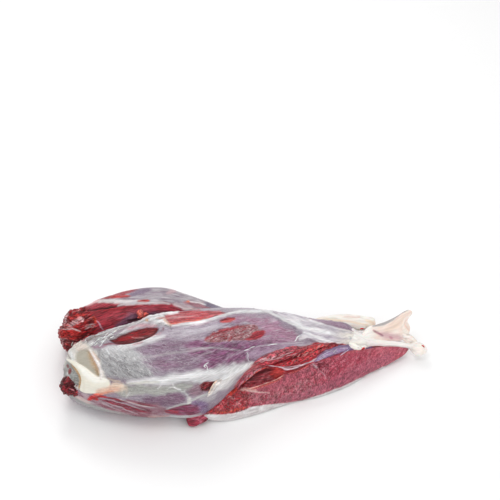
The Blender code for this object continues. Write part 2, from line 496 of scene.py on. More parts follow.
# %% [markdown]
# Masks are drawn as outlines and lines in the picture, like a transparency laid over it. The corners
# are rounded off, the edge is torn by noise, and nothing lands on the sides that face away.

# %% Masks on a muscle
class Masked(Grained):
    """A spindle that outlines and lines of the picture can be drawn on."""

    def blot(self, outline, edge=3.0, rag=1.0, span=6.0, seed=3):
        """1 inside the outline, drawn in picture pixels, and 0 outside it."""
        loop = np.array(outline, float)
        for _ in range(2):
            after = np.roll(loop, -1, axis=0)
            loop = np.stack([0.75 * loop + 0.25 * after, 0.25 * loop + 0.75 * after], axis=1).reshape(-1, 2)
        spot = self.rag(rag, span, seed)
        margin = edge + 2
        near = ((spot > loop.min(axis=0) - margin) & (spot < loop.max(axis=0) + margin)).all(axis=1)
        close = spot[near]
        away = np.full(len(close), 1e9)
        inside = np.zeros(len(close), bool)
        for a, b in zip(loop, np.roll(loop, -1, axis=0)):
            run = b - a
            share = np.clip(((close - a) @ run) / (run @ run + 1e-12), 0, 1)
            away = np.minimum(away, np.linalg.norm(close - a - share[:, None] * run, axis=1))
            crosses = (a[1] > close[:, 1]) != (b[1] > close[:, 1])
            level = a[0] + (close[:, 1] - a[1]) * run[0] / (run[1] + 1e-12)
            inside ^= crosses & (close[:, 0] < level)
        mask = np.zeros(len(spot))
        mask[near] = smooth(-edge / 2, edge / 2, np.where(inside, away, -away))
        return mask * self.facing

    def stroke(self, line, width=2.0, edge=1.5, rag=0.5, span=5.0, seed=9, ends=0.4):
        """1 along the line, drawn in picture pixels, whose ends thin out to that share of the width."""
        line = rounded(line)
        spot = self.rag(rag, span, seed)
        margin = edge + width
        near = ((spot > line.min(axis=0) - margin) & (spot < line.max(axis=0) + margin)).all(axis=1)
        close = spot[near]
        runs = np.linalg.norm(np.diff(line, axis=0), axis=1)
        start = np.concatenate([[0], np.cumsum(runs)]) / runs.sum()
        best = np.full(len(close), 1e9)
        place = np.zeros(len(close))
        for index, (a, b) in enumerate(zip(line[:-1], line[1:])):
            run = b - a
            share = np.clip(((close - a) @ run) / (run @ run + 1e-12), 0, 1)
            away = np.linalg.norm(close - a - share[:, None] * run, axis=1)
            nearer = away < best
            best = np.where(nearer, away, best)
            place = np.where(nearer, start[index] + share * (start[index + 1] - start[index]), place)
        taper = ends + (1 - ends) * np.sqrt(np.clip(4 * place * (1 - place), 0, 1))
        mask = np.zeros(len(spot))
        mask[near] = smooth(-edge / 2, edge / 2, width / 2 * taper - best)
        return mask * self.facing


# %% [markdown]
# Colour goes on in layers, each over the last, and brings with it how fleshy and how marbled the place
# is. When a muscle is done, its relief is raised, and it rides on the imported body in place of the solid.

# %% A muscle
SKINS = []


class Muscle(Masked):
    """A lobe of meat that brushes shape and colour."""

    def tint(self, colour, mask=1.0):
        """Lays colour on where the mask says."""
        mask = np.clip(mask * np.ones(len(self.points)), 0, 1)[:, None]
        self.colour = self.colour * (1 - mask) + np.array(colour) * mask

    def put(self, colour, mask, height=0.0, strength=1.0, marble=0.0):
        """Lays tissue of that colour on, raised by height in mm: red colours are flesh, others membrane."""
        self.tint(colour, mask * strength)
        rawness = smooth(0.25, 0.75, (colour[0] - colour[1]) / (colour[0] + colour[1]))
        mask = np.clip(mask * strength, 0, 1)
        self.flesh = self.flesh * (1 - mask) + rawness * mask
        self.marble = self.marble * (1 - mask) + marble * mask
        self.lift += height * mask

    def mottle(self, mask, grain, light, dark, strength=0.6):
        """Lays light and dark streaks on where the grain, a noise, is high and low."""
        self.tint(light, mask * smooth(0.05, 0.75, grain) * strength)
        self.tint(dark, mask * smooth(0.05, 0.75, -grain) * strength)

    def blots(self, table, rag=1.0, span=6.0):
        """Puts on each row of a table: colour, strength, edge, height, outline."""
        for colour, strength, edge, height, outline in table:
            self.put(colour, self.blot(outline, edge, rag, span), height, strength)

    def strokes(self, table, rag=0.5, marble=0.0):
        """Puts on each row of a table: colour, strength, width, edge, height, line."""
        for colour, strength, width, edge, height, line in table:
            self.put(colour, self.stroke(line, width, edge, rag), height, strength, marble)

    def done(self, material, slot, lowest=0.0):
        """The finished object, riding on the shank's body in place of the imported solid."""
        self.points = self.points + self.normals * self.lift[:, None]
        self.points[:, 2] = np.maximum(self.points[:, 2], lowest)
        places = (self.points + DRAWN_FROM) * MM
        mesh = self.mesh
        mesh.vertices.foreach_set("co", places.astype(np.float32).ravel())
        flow = mesh.attributes.new("flow", "FLOAT_VECTOR", "POINT")
        flow.data.foreach_set("vector", (self.flow * MM).astype(np.float32).ravel())
        mesh.shade_smooth()
        paint = mesh.attributes.new("tint", "FLOAT_COLOR", "POINT")
        rgba = np.concatenate([self.colour, np.ones((len(self.colour), 1))], axis=1)
        paint.data.foreach_set("color", rgba.astype(np.float32).ravel())
        for label, values in (("flesh", self.flesh), ("marble", self.marble), ("lean", self.lean)):
            layer = mesh.attributes.new(label, "FLOAT", "POINT")
            layer.data.foreach_set("value", np.clip(values, -1, 1).astype(np.float32))
        mesh.materials.append(material)
        thing = bpy.data.objects.new(self.name, mesh)
        bpy.context.scene.collection.objects.link(thing)
        bm = bmesh.new()
        bm.from_mesh(mesh)
        SKINS.append(BVHTree.FromBMesh(bm))
        bm.free()
        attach(thing, "root")
        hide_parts("beef_shank")
        print(self.name, "has", len(mesh.vertices), "vertices")
        return thing


# %% [markdown]
# ## Strips laid on the meat
#
# Threads of sinew, torn fibres and flaps of skin are strips of their own. Each follows a line of the
# picture: a ray from the camera through every point of the line finds the place on the meat below,
# and the strip's ribs stand there, square to the surface.

# %% Strips
def touch(right, down):
    """Where a point of the picture lies on the finished meat, and which way the surface faces there."""
    across = (right - PICTURE / 2) / PIXELS
    fall = (down - PICTURE / 2) / PIXELS
    ray = Vector(FORWARD + across * RIGHTWARD - fall * UPWARD).normalized()
    start = Vector((EYE + DRAWN_FROM) * MM)
    hits = [hit for hit in (skin.ray_cast(start, ray) for skin in SKINS) if hit[0] is not None]
    if not hits:
        raise ValueError(f"no meat at {right}, {down}")
    place, normal, _, _ = min(hits, key=lambda hit: hit[3])
    return np.array(place) / MM - DRAWN_FROM, np.array(normal)


def laid(line, sunk=0.5):
    """Ribs along a line on the meat, each (right, down, half width, half height)."""
    line = rounded(line)
    touched = [touch(right, down) for right, down in line[:, :2]]
    spots = np.array([spot for spot, _ in touched])
    upward = np.array([normal for _, normal in touched])
    for _ in range(2):
        padded = np.concatenate([upward[:1], upward, upward[-1:]])
        upward = unit(padded[:-2] + padded[1:-1] + padded[2:])
    run = unit(np.gradient(spots, axis=0))
    width = unit(np.cross(upward, run))
    height = unit(np.cross(run, width))
    spots = spots + height * line[:, 3:4] * (1 - 2 * sunk)
    return np.concatenate([spots, line[:, 2:4], width, height], axis=1)


STRIP_TIPS = (0.2, 0.2)
STRIP_SWELL = 0.2


def strip(name, line, colour, material, slot, detail=(16, 40), sunk=0.5, rough=0.15, marble=0.0, streak=5):
    """A strip of tissue on the meat, in one colour with finer streaks."""
    piece = Muscle(name, laid(line, sunk), detail[0], detail[1], STRIP_TIPS, STRIP_SWELL, 0.0)
    piece.put(colour, np.ones(len(piece.points)), 0, 1, marble)
    piece.mottle(1, piece.grit(1.4, 5, streak), np.minimum(colour * 1.5 + 0.03, 1), colour * 0.5, 0.6)
    piece.lift += rough * piece.grit(1.8, 6, 0.6 * streak)
    return piece.done(material, slot, 0.3)


def gathered(name, pieces):
    """Strips made into one piece."""
    with bpy.context.temp_override(active_object=pieces[0], selected_editable_objects=pieces):
        bpy.ops.object.join()
    pieces[0].name = name
    pieces[0].data.name = name
    print(name, "is", len(pieces[0].data.vertices), "vertices")


# %% [markdown]
# ## Raw meat as a material
#
# The brushed colour is only the broad picture. The material adds what is finer than a millimetre:
# fibres that run with the muscle, dark gaps and threads of fat between them, pale strands in the
# membrane, and a wet film. It reads the flow that every vertex keeps: how far along the muscle it is,
# and where across it. So the fibres bend as the muscle does, and show cut across at its ends.
# Where the brushes set a negative marble, the surface is smooth.
# Threads and gaps are the lines along which a drawn-out noise passes its middle value, which
# wander and fork as real ones do. Where the brushes set a lean, the fibres slant down or up.

# %% The material
def node(tree, kind, settings=None, **sockets):
    """A shader node; each socket gets a value or another node's output."""
    made = tree.nodes.new(kind)
    for key, value in (settings or {}).items():
        setattr(made, key, value)
    for key, value in sockets.items():
        socket = made.inputs[int(key[1:]) if key[0] == "i" and key[1:].isdigit() else key.replace("_", " ")]
        if isinstance(value, bpy.types.NodeSocket):
            tree.links.new(value, socket)
        else:
            socket.default_value = value
    return made


def arithmetic(tree, operation, first, second=0.0, third=0.0):
    """The output of a Math node."""
    return node(tree, "ShaderNodeMath", {"operation": operation}, i0=first, i1=second, i2=third).outputs[0]


def remap(tree, value, low, high, to_low, to_high):
    """A value moved from one range to another, and held inside it."""
    return node(
        tree, "ShaderNodeMapRange", Value=value, From_Min=low, From_Max=high, To_Min=to_low, To_Max=to_high
    ).outputs[0]


def threads(tree, where, width):
    """1 along crooked, forking lines and 0 beside them."""
    wave = node(tree, "ShaderNodeTexNoise", Vector=where, Scale=1.0, Detail=2.5, Roughness=0.6).outputs[0]
    away = arithmetic(tree, "ABSOLUTE", arithmetic(tree, "SUBTRACT", wave, 0.5))
    return remap(tree, away, 0.0, width, 1.0, 0.0)


def between(tree, amount, first, second):
    """A value between two others."""
    return node(tree, "ShaderNodeMix", i0=amount, i2=first, i3=second).outputs[0]


def blend(tree, amount, under, over):
    """A colour laid over another."""
    return node(tree, "ShaderNodeMix", {"data_type": "RGBA"}, i0=amount, i6=under, i7=over).outputs[2]


FAT_THREAD = (0.66, 0.36, 0.37, 1)
GAP = (0.06, 0.002, 0.005, 1)
SINEW = (0.78, 0.76, 0.77, 1)
SLANT_DOWN = -38
SLANT_UP = 24


def meat(name, fibre=(70, 800), turn=0, strands=0.4, gaps=0.5, grain=(0.1, 0.4), wet=0.3, glow=0.1,
         bump=0.4):
    """Raw meat: fibre is how often the grain changes in a metre, along and across the muscle."""
    material = bpy.data.materials.new(name)
    material.use_nodes = True
    tree = material.node_tree
    shader = tree.nodes["Principled BSDF"]
    flow = node(tree, "ShaderNodeAttribute", {"attribute_name": "flow"}).outputs["Vector"]

    def drawn(along, across, slant=0):
        angle = (0, 0, math.radians(turn + slant))
        turned = node(tree, "ShaderNodeMapping", Vector=flow, Rotation=angle).outputs[0]
        scale = (fibre[0] * along, fibre[1] * across, fibre[1] * across)
        return node(tree, "ShaderNodeMapping", Vector=turned, Scale=scale).outputs[0]

    flesh = node(tree, "ShaderNodeAttribute", {"attribute_name": "flesh"}).outputs["Fac"]
    marble = node(tree, "ShaderNodeAttribute", {"attribute_name": "marble"}).outputs["Fac"]
    tint = node(tree, "ShaderNodeAttribute", {"attribute_name": "tint"}).outputs["Color"]
    lean = node(tree, "ShaderNodeAttribute", {"attribute_name": "lean"}).outputs["Fac"]
    bare = arithmetic(tree, "SUBTRACT", 1.0, flesh)
    downward = remap(tree, lean, -1.0, 0.0, 1.0, 0.0)
    upward = remap(tree, lean, 0.0, 1.0, 0.0, 1.0)

    def leaning(made):
        level = between(tree, downward, made(0), made(SLANT_DOWN))
        return between(tree, upward, level, made(SLANT_UP))

    def fibres(slant):
        where = drawn(1, 1, slant)
        return node(tree, "ShaderNodeTexNoise", Vector=where, Scale=1.0, Detail=3.0,
                    Roughness=0.55).outputs[0]

    def sinews(slant):
        long_one = threads(tree, drawn(0.3, 0.5, slant + 7), 0.014)
        short_one = threads(tree, drawn(0.9, 0.8, slant - 16), 0.02)
        return arithmetic(tree, "MAXIMUM", long_one, short_one)

    fine = leaning(fibres)
    broad = node(tree, "ShaderNodeTexNoise", Vector=drawn(0.5, 0.25), Scale=1.0, Detail=2.0).outputs[0]
    tone = remap(tree, between(tree, 0.25, fine, broad), 0.41, 0.59, -1.0, 1.0)
    rough = remap(tree, marble, -0.5, 0.0, 0.1, 1.0)
    reach = arithmetic(tree, "MULTIPLY", between(tree, flesh, grain[0], grain[1]), rough)
    light = arithmetic(tree, "MULTIPLY_ADD", tone, reach, 1.0)
    colour = node(tree, "ShaderNodeVectorMath", {"operation": "SCALE"}, i0=tint, Scale=light).outputs[0]

    open_flesh = arithmetic(tree, "MULTIPLY", flesh, gaps)
    dark = arithmetic(tree, "MULTIPLY", threads(tree, drawn(0.6, 0.45), 0.03), open_flesh)
    dark = arithmetic(tree, "MULTIPLY", dark, rough)
    marbled = arithmetic(tree, "MULTIPLY", marble, flesh)
    fat = arithmetic(tree, "MULTIPLY", threads(tree, drawn(1.6, 0.85), 0.035), marbled)
    share = arithmetic(tree, "MULTIPLY_ADD", marble, 1.0, 0.5)
    stranded = arithmetic(tree, "MULTIPLY", bare, share)
    pale = arithmetic(tree, "MULTIPLY", leaning(sinews), stranded)
    colour = blend(tree, dark, colour, GAP)
    colour = blend(tree, fat, colour, FAT_THREAD)
    colour = blend(tree, arithmetic(tree, "MULTIPLY", pale, strands), colour, SINEW)
    tree.links.new(colour, shader.inputs["Base Color"])

    place = node(tree, "ShaderNodeTexCoord").outputs["Object"]
    dew = node(tree, "ShaderNodeTexNoise", Vector=place, Scale=420.0, Detail=3.0).outputs[0]
    tree.links.new(remap(tree, dew, 0.3, 0.7, 0.26, 0.48), shader.inputs["Roughness"])
    height = arithmetic(tree, "MULTIPLY_ADD", tone, reach, arithmetic(tree, "MULTIPLY", dew, 0.35))
    height = arithmetic(tree, "MULTIPLY_ADD", dark, -0.8, height)
    height = arithmetic(tree, "MULTIPLY_ADD", arithmetic(tree, "MAXIMUM", fat, pale), 0.25, height)
    bumped = node(tree, "ShaderNodeBump", Height=height, Strength=bump, Distance=0.0012).outputs[0]
    tree.links.new(bumped, shader.inputs["Normal"])
    shader.inputs["Subsurface Weight"].default_value = glow
    shader.inputs["Subsurface Radius"].default_value = (1, 0.3, 0.2)
    shader.inputs["Subsurface Scale"].default_value = 0.003
    tree.links.new(arithmetic(tree, "MULTIPLY_ADD", bare, 0.7 * wet, 0.3 * wet),
                   shader.inputs["Coat Weight"])
    shader.inputs["Coat Roughness"].default_value = 0.1
    shader.inputs["Specular IOR Level"].default_value = 0.2
    return material


# %% [markdown]
# The palette holds the colours that come back. The five finishes are the same recipe with other
# numbers: silverskin with long pale strands, flesh cut across its grain, flesh along its grain, torn
# flesh with short fibres, and smooth wet tendon.

# %% Colours and finishes
SILVER = srgb(138, 137, 138)
# a paler silver, painted as the sheen on the skin's top
PAINTED_SILVER_SHEEN = srgb(188, 187, 188)
MAUVE = srgb(120, 95, 115)
DEEP_MAUVE = srgb(126, 67, 106)
LILAC = srgb(165, 115, 141)
GREY_LILAC = srgb(146, 133, 146)
PURPLE = srgb(114, 79, 104)
WINE = srgb(134, 52, 74)
WHITE = srgb(218, 217, 218)
BRIGHT_WHITE = srgb(240, 239, 240)
GREY = srgb(162, 163, 156)
# a dark grey for painted shade in a crease
CREASE_SHADE = srgb(96, 98, 98)
PINK = srgb(204, 112, 124)
BLACK_RED = srgb(54, 8, 14)
CREAM = srgb(238, 231, 221)
ROSE = srgb(206, 168, 173)
SKIN = meat("silverskin", (80, 800), strands=0.8, gaps=0.5, grain=(0.17, 0.55), wet=0.3, glow=0.05,
            bump=0.45)
CUT = meat("cut_flesh", (300, 900), turn=62, strands=0.6, gaps=0.28, grain=(0.14, 0.6), wet=0.2, glow=0.04)
FLESHY = meat("flesh", (80, 800), strands=0.5, gaps=0.6, grain=(0.14, 0.6), wet=0.25, glow=0.04, bump=0.6)
TORN = meat("torn_flesh", (260, 900), strands=0.8, gaps=0.3, grain=(0.2, 0.75), wet=0.3, glow=0.04,
            bump=0.8)
TENDON = meat("tendon_wet", (50, 600), strands=0.4, gaps=0.2, grain=(0.07, 0.4), wet=0.4, glow=0.15,
              bump=0.3)
print("palette and five finishes ready")

# %% [markdown]
# ## The big muscle
#
# The large muscle is the one under silverskin. The skin is silver at the knee end, where it is
# thickest, and purple where the meat shows through. A pale seam runs along the muscle where two
# sheets of membrane meet, and at the hock end the skin gathers into a white sheet of tendon.

# %% The big muscle's skin
belly = Muscle("belly", upright(BELLY_RIBS), 330, 294, (BLUNT, BLUNT))
strand = belly.grit(2.2, 11, 8)
slant = belly.grit(2.0, 12, 6, SLANT_DOWN)
cloud = belly.grit(16, 13, 2)
belly.tint(GREY_LILAC)
belly.tint(MAUVE, smooth(-0.2, 0.8, cloud + 0.4 * strand) * 0.6)
belly.lift += 0.35 * belly.grit(11, 21) + 0.14 * belly.grit(4, 22, 2) + 0.1 * strand

BELLY_FIELDS = (
    # colour, strength, edge, height, outline
    (GREY_LILAC, 0.9, 8, 0, ((150, 342), (166, 333), (190, 325), (218, 318), (240, 316), (214, 330),
                             (204, 338), (184, 341))),
    (LILAC, 0.9, 7, 0, ((215, 321), (232, 315), (262, 317), (285, 325), (300, 338), (290, 345), (262, 344),
                        (244, 342), (264, 337), (258, 323), (240, 322))),
    (DEEP_MAUVE, 0.95, 8, 0.4, ((182, 342), (205, 340.5), (232, 342), (266, 341), (285, 343), (262, 356),
                                (248, 363), (232, 366), (208, 368), (192, 369), (200, 360), (186, 352))),
    (srgb(170, 142, 166), 0.9, 8, 0, ((256, 346), (285, 344), (312, 344), (300, 346), (270, 354),
                                      (254, 361), (246, 356))),
    (MAUVE, 0.95, 7, 0.3, ((141, 361), (156, 357), (176, 354), (200, 355), (205, 362), (190, 370),
                           (166, 371.5), (150, 369))),
    (DEEP_MAUVE, 0.5, 7, 0, ((150, 362), (170, 360), (182, 366), (166, 370), (152, 367))),
    (MAUVE, 0.85, 7, 0, ((136, 347), (150, 341), (170, 338), (190, 341), (180, 349), (160, 353),
                         (142, 353))),
    (SILVER, 0.95, 7, 0, ((90, 350), (110, 346), (130, 348), (142, 357), (142, 364), (152, 373), (150, 378),
                          (128, 380), (106, 379), (98, 366))),
    # painted sheen: the silver skin made paler on its top, where the light falls
    (PAINTED_SILVER_SHEEN, 0.75, 7, 0.2, ((98, 350), (112, 347), (128, 349), (142, 354), (146, 359), (124, 358),
                                  (108, 356))),
    (srgb(206, 205, 206), 0.95, 6, 0.9, ((126, 383), (150, 379), (170, 375), (190, 371), (215, 366.5),
                                         (236, 362.5), (250, 361), (246, 370), (236, 381), (224, 392),
                                         (212, 382), (190, 382), (160, 384.5))),
    (GREY, 0.9, 5, 0, ((112, 385), (150, 385), (176, 384), (196, 383), (186, 390), (182, 394), (150, 394),
                       (128, 397), (112, 393))),
    (PURPLE, 0.95, 4, 0, ((140, 399), (156, 395), (178, 393.5), (184, 396), (186, 401), (176, 405),
                          (160, 406), (146, 404))),
    (srgb(136, 88, 102), 0.9, 5, 0, ((134, 404), (150, 403), (164, 406), (168, 411), (160, 418),
                                     (136, 417))),
    (WINE, 0.4, 6, 0, ((186, 390), (194, 385), (200, 381), (206, 394), (196, 397), (190, 395))),
    (srgb(150, 118, 134), 0.95, 5, 0, ((262, 309), (300, 309), (325, 318), (318, 321), (296, 316),
                                       (275, 313))),
)
belly.blots(BELLY_FIELDS, 2.2, 9)
SILVER_PART = ((92, 349), (112, 345), (140, 349), (150, 358), (162, 372), (150, 379), (106, 380), (98, 366))
MAUVE_PART = ((142, 345), (190, 335), (300, 338), (300, 345), (250, 363), (232, 367), (160, 374),
              (140, 362))
PALE_PART = ((150, 342), (168, 330), (210, 318), (240, 314), (300, 322), (300, 338), (240, 341), (200, 340))
silver = belly.blot(SILVER_PART, 9)
mauve = belly.blot(MAUVE_PART, 9)
pale = belly.blot(PALE_PART, 7)
belly.mottle(silver, slant, srgb(186, 186, 188), srgb(110, 108, 112), 0.5)
belly.mottle(silver, belly.grit(3.6, 14, 3, -34), srgb(172, 172, 174), srgb(126, 124, 126), 0.35)
# painted glints: small bright flecks of light on the wet silver skin, towards its top
painted_glints = silver * smooth(374, 350, belly.spot[:, 1]) * smooth(0.2, 0.5, belly.grit(1.1, 19, 3.4, -40))
belly.tint(srgb(226, 226, 227), painted_glints * 0.6)
belly.mottle(mauve, strand, srgb(160, 134, 156), srgb(108, 62, 92), 0.45)
belly.mottle(mauve, belly.grit(1.3, 15, 6, -22), srgb(168, 146, 166), srgb(114, 78, 106), 0.4)
belly.mottle(pale, belly.grit(1.6, 16, 9, 12), srgb(198, 190, 200), srgb(140, 120, 140), 0.5)
belly.lean -= silver
belly.marble += 0.3 * silver
belly.lift += 0.15 * silver * slant
print("fields of colour on the belly:", len(BELLY_FIELDS))

# %% [markdown]
# Towards the hock the skin thickens into a sheet of tendon. It is one outline with a torn edge,
# streaked along its length, and most lines on it are its folds. A purple band of painted shade runs
# between the side tendon and the sheet, and a grey-blue line of painted shadow lies beside the knob.
# Past its end the belly is pressed in, so that it tapers into the heel tendon.

# %% The tendon sheet
SHEET = ((268, 311), (276, 313), (283, 318), (290, 322), (296, 325.3), (301, 328), (304, 331), (302, 334.5),
         (297.5, 337.5), (299, 341), (303, 340), (308, 337), (316, 341), (325, 343.5), (338, 344.5),
         (350, 345), (354, 356), (385, 356), (385, 322), (358, 330.5), (340, 328), (325, 322), (306, 317.5),
         (290, 314))
sheet = belly.blot(SHEET, 1.6, 0.7)
belly.put(srgb(208, 202, 208), sheet, 0.9)
belly.mottle(sheet, belly.grit(2.0, 17, 9, -17), srgb(238, 235, 237), srgb(160, 148, 164), 0.8)
belly.put(CREAM, sheet * smooth(330, 348, belly.spot[:, 0]) * smooth(316, 330, belly.spot[:, 1]), 0, 0.9)
SHEET_LINES = (
    # colour, strength, width, edge, height, line
    (BRIGHT_WHITE, 0.9, 3.5, 3, 0.4, ((298, 328), (312, 330), (322, 332), (334, 334.5))),
    (BRIGHT_WHITE, 0.9, 2.6, 2.4, 0.5, ((303, 332), (314, 336), (324, 341), (338, 343.5))),
    (WHITE, 0.9, 2.4, 1.6, 0.5, ((268, 312.5), (276, 315.5), (284, 320), (292, 324), (300, 327.5))),
    (srgb(184, 172, 186), 0.6, 2, 2.2, -0.3, ((300, 330.5), (318, 334.5), (332, 338), (348, 339))),
    (srgb(176, 168, 178), 0.7, 3, 3, 0, ((300, 322), (316, 325), (334, 330), (352, 333))),
    # painted shade: a purple band between the side tendon and the sheet, with a darker line inside it
    (srgb(144, 112, 134), 0.95, 6.2, 2.4, -0.6, ((306, 316), (320, 319.4), (336, 324), (347, 327.4),
                                                 (355, 329.4))),
    (srgb(122, 92, 114), 0.8, 2, 2, -0.3, ((322, 322), (336, 326.6), (350, 329.6), (360, 330.6))),
    # painted shadow: a grey-blue line between the sheet and the knob
    (srgb(166, 176, 182), 0.8, 4, 3, 0, ((350, 338), (352, 341), (351, 345))),
    (WHITE, 0.95, 3.4, 2.4, 0.8, ((228, 313.5), (240, 311.8), (256, 311.5), (272, 312))),
    (srgb(160, 136, 154), 0.8, 1.8, 1.8, 0, ((222, 317), (236, 314.8), (256, 314.6), (272, 317))),
)
belly.strokes(SHEET_LINES)
belly.lift -= 4 * smooth(346, 362, belly.spot[:, 0])
print("tendon sheet laid")

# %% [markdown]
# The knife opened the silverskin in five places, and tore it away above the pocket. Each place is
# an outline in the picture, with a few lines inside it, some of them painted light and painted
# shadow. They are only drawn here.

# %% The outlines of the cuts
WINDOW = ((108.5, 339.8), (115, 338), (119, 334.5), (129, 331), (140, 328), (150, 326.3), (158.5, 326.5),
          (158.5, 330), (153, 335.6), (142, 340.8), (132, 344.2), (122, 344.8), (115, 342.6))
OVAL = ((204, 340), (208, 335), (218, 330), (235, 326), (247, 324), (257, 325), (259, 330), (266, 331),
        (264.5, 336), (255, 339.7), (243, 339.5), (230, 341), (216, 342.6), (207, 342))
NICK = ((219, 321.5), (223, 319), (231, 317), (237, 318), (233, 321.5), (226, 322.8))
OPEN_BACK = ((163, 314), (178, 311), (205, 310), (229, 312.5), (216, 316), (206, 318.7), (196, 321),
             (186, 323), (176, 325.5), (170, 324), (166, 319))
SPOT = ((199.5, 386), (203, 382.5), (210, 381.5), (217, 381.5), (213, 388), (208.5, 392.3), (202, 392))
TORN_EDGE = ((252, 363), (262, 357), (275, 350.5), (290, 346.5), (305, 346.5), (316, 341.5), (330, 342.5),
             (350, 343.5), (350, 356), (318, 362), (300, 372), (270, 384), (236, 392), (234, 386),
             (241, 377), (248, 368))
# painted light: the upper part of the window, lighter where light falls into the cut
WINDOW_PAINTED_LIGHT = ((116, 339), (128, 332), (142, 328.6), (157, 327.5), (157, 331), (146, 336), (130, 337),
                (120, 340))
WINDOW_LINES = (
    # colour, strength, width, edge, height, line
    # painted shadow under the window's lower rim
    (BLACK_RED, 0.9, 2.4, 2.4, 0, ((110, 340), (118, 343.8), (126, 343.6), (138, 341.2), (148, 337),
                                   (157, 331))),
    (BLACK_RED, 0.6, 1.0, 1.4, 0, ((109, 339.5), (116, 337), (122, 333.6), (132, 330.2))),
    (srgb(190, 120, 120), 0.8, 1.0, 1.2, 0.2, ((131, 335.2), (137, 336.6), (143, 336))),
)
OVAL_STREAK = ((206, 338), (216, 332.5), (230, 328), (244, 326))
OVAL_LOBE = ((240, 340), (250, 337), (254, 331), (261, 329.6), (266, 331.5), (263, 337), (255, 340))
NICK_SHADE = ((220, 320.8), (227, 318.4), (235, 318.2))
OPEN_BACK_LINES = (
    # colour, strength, width, edge, height, line
    (srgb(224, 100, 76), 0.7, 2.6, 2.4, 0, ((170, 323.5), (182, 322.3), (196, 320), (208, 317.4))),
    (srgb(184, 34, 46), 0.7, 1.4, 1.6, 0, ((176, 319.6), (190, 319), (204, 316.5))),
    (srgb(184, 34, 46), 0.5, 1.4, 1.6, 0, ((180, 312), (196, 312.4), (214, 312))),
)
SPOT_SHADE = ((207, 391), (211, 386.5), (215, 382.5))
print("five cuts drawn, and the torn edge")

# %% [markdown]
# The inside of each outline is pressed in, painted with red flesh, and split into bundles or streaked
# along the fibres. Cutting real holes would leave sharp steps, where the real edges are soft and wet.

# %% The cuts in the big muscle
window = belly.blot(WINDOW, 0.8, 0.4)
belly.put(srgb(98, 2, 14), window, 0, 1.0, 0.1)
belly.lift -= 2.4 * belly.blot(WINDOW, 4, 0.4)
# painted light on the upper part of the window
belly.put(srgb(138, 8, 20), belly.blot(WINDOW_PAINTED_LIGHT, 2.5, 0.8))
belly.mottle(window, belly.grit(1.7, 31, 7, 14), srgb(150, 16, 26), srgb(56, 2, 10), 0.7)
belly.strokes(WINDOW_LINES)

oval = belly.blot(OVAL, 1.2, 0.8, 4)
raised, tone = belly.bundles(oval, 1.5, 32, 2.4, 55)
belly.put(srgb(176, 112, 122), oval, -0.6, 1.0, 0.35)
belly.tint(srgb(202, 172, 174), oval * smooth(0, 0.6, tone) * 0.8)
belly.tint(srgb(146, 36, 48), oval * smooth(0.25, 0.75, -tone) * 0.9)
belly.tint(srgb(112, 34, 42), oval * (1 - raised) * 0.8)
belly.put(srgb(158, 38, 52), oval * belly.stroke(OVAL_STREAK, 3, 2.5), 0, 0.8, 0.1)
lobe = belly.blot(OVAL_LOBE, 1.8, 0.8)
belly.put(srgb(166, 48, 60), lobe, 0.4, 0.95, 0.1)
belly.lift += 0.7 * oval * (raised - 0.5)
nick = belly.blot(NICK, 1.2, 0.8, 4)
belly.put(srgb(196, 84, 84), nick, -0.6, 1.0, 0.3)
belly.put(srgb(128, 24, 34), belly.stroke(NICK_SHADE, 1.8, 1.4), 0, 0.9)

open_back = belly.blot(OPEN_BACK, 1.6, 1.0)
belly.put(srgb(178, 58, 68), open_back, -0.5, 1.0, 0.6)
belly.mottle(open_back, belly.grit(1.3, 33, 12, 6), srgb(212, 148, 150), srgb(164, 18, 32), 0.85)
belly.strokes(OPEN_BACK_LINES, marble=0.2)
belly.lift += 0.5 * open_back * belly.grit(1.8, 34, 12, 6)

pit = belly.blot(SPOT, 1.4, 0.8, 3)
belly.put(srgb(118, 6, 18), pit, 0, 1.0, 0.4)
belly.lift -= 2.0 * belly.blot(SPOT, 4, 0.5)
belly.mottle(pit, belly.grit(1.5, 35), srgb(176, 62, 70), srgb(70, 2, 12), 0.9)
belly.put(srgb(84, 6, 16), belly.stroke(SPOT_SHADE, 2, 2), 0, 0.8)

torn = belly.blot(TORN_EDGE, 1.4, 0.8)
fibres = belly.grit(2.4, 36, 7, 24)
belly.put(srgb(172, 56, 66), torn, 0.4, 1.0, 0.8)
belly.mottle(torn, fibres, srgb(206, 122, 128), srgb(110, 12, 26), 0.8)
belly.lift += 1.0 * torn * fibres
print("cuts pressed in and painted")
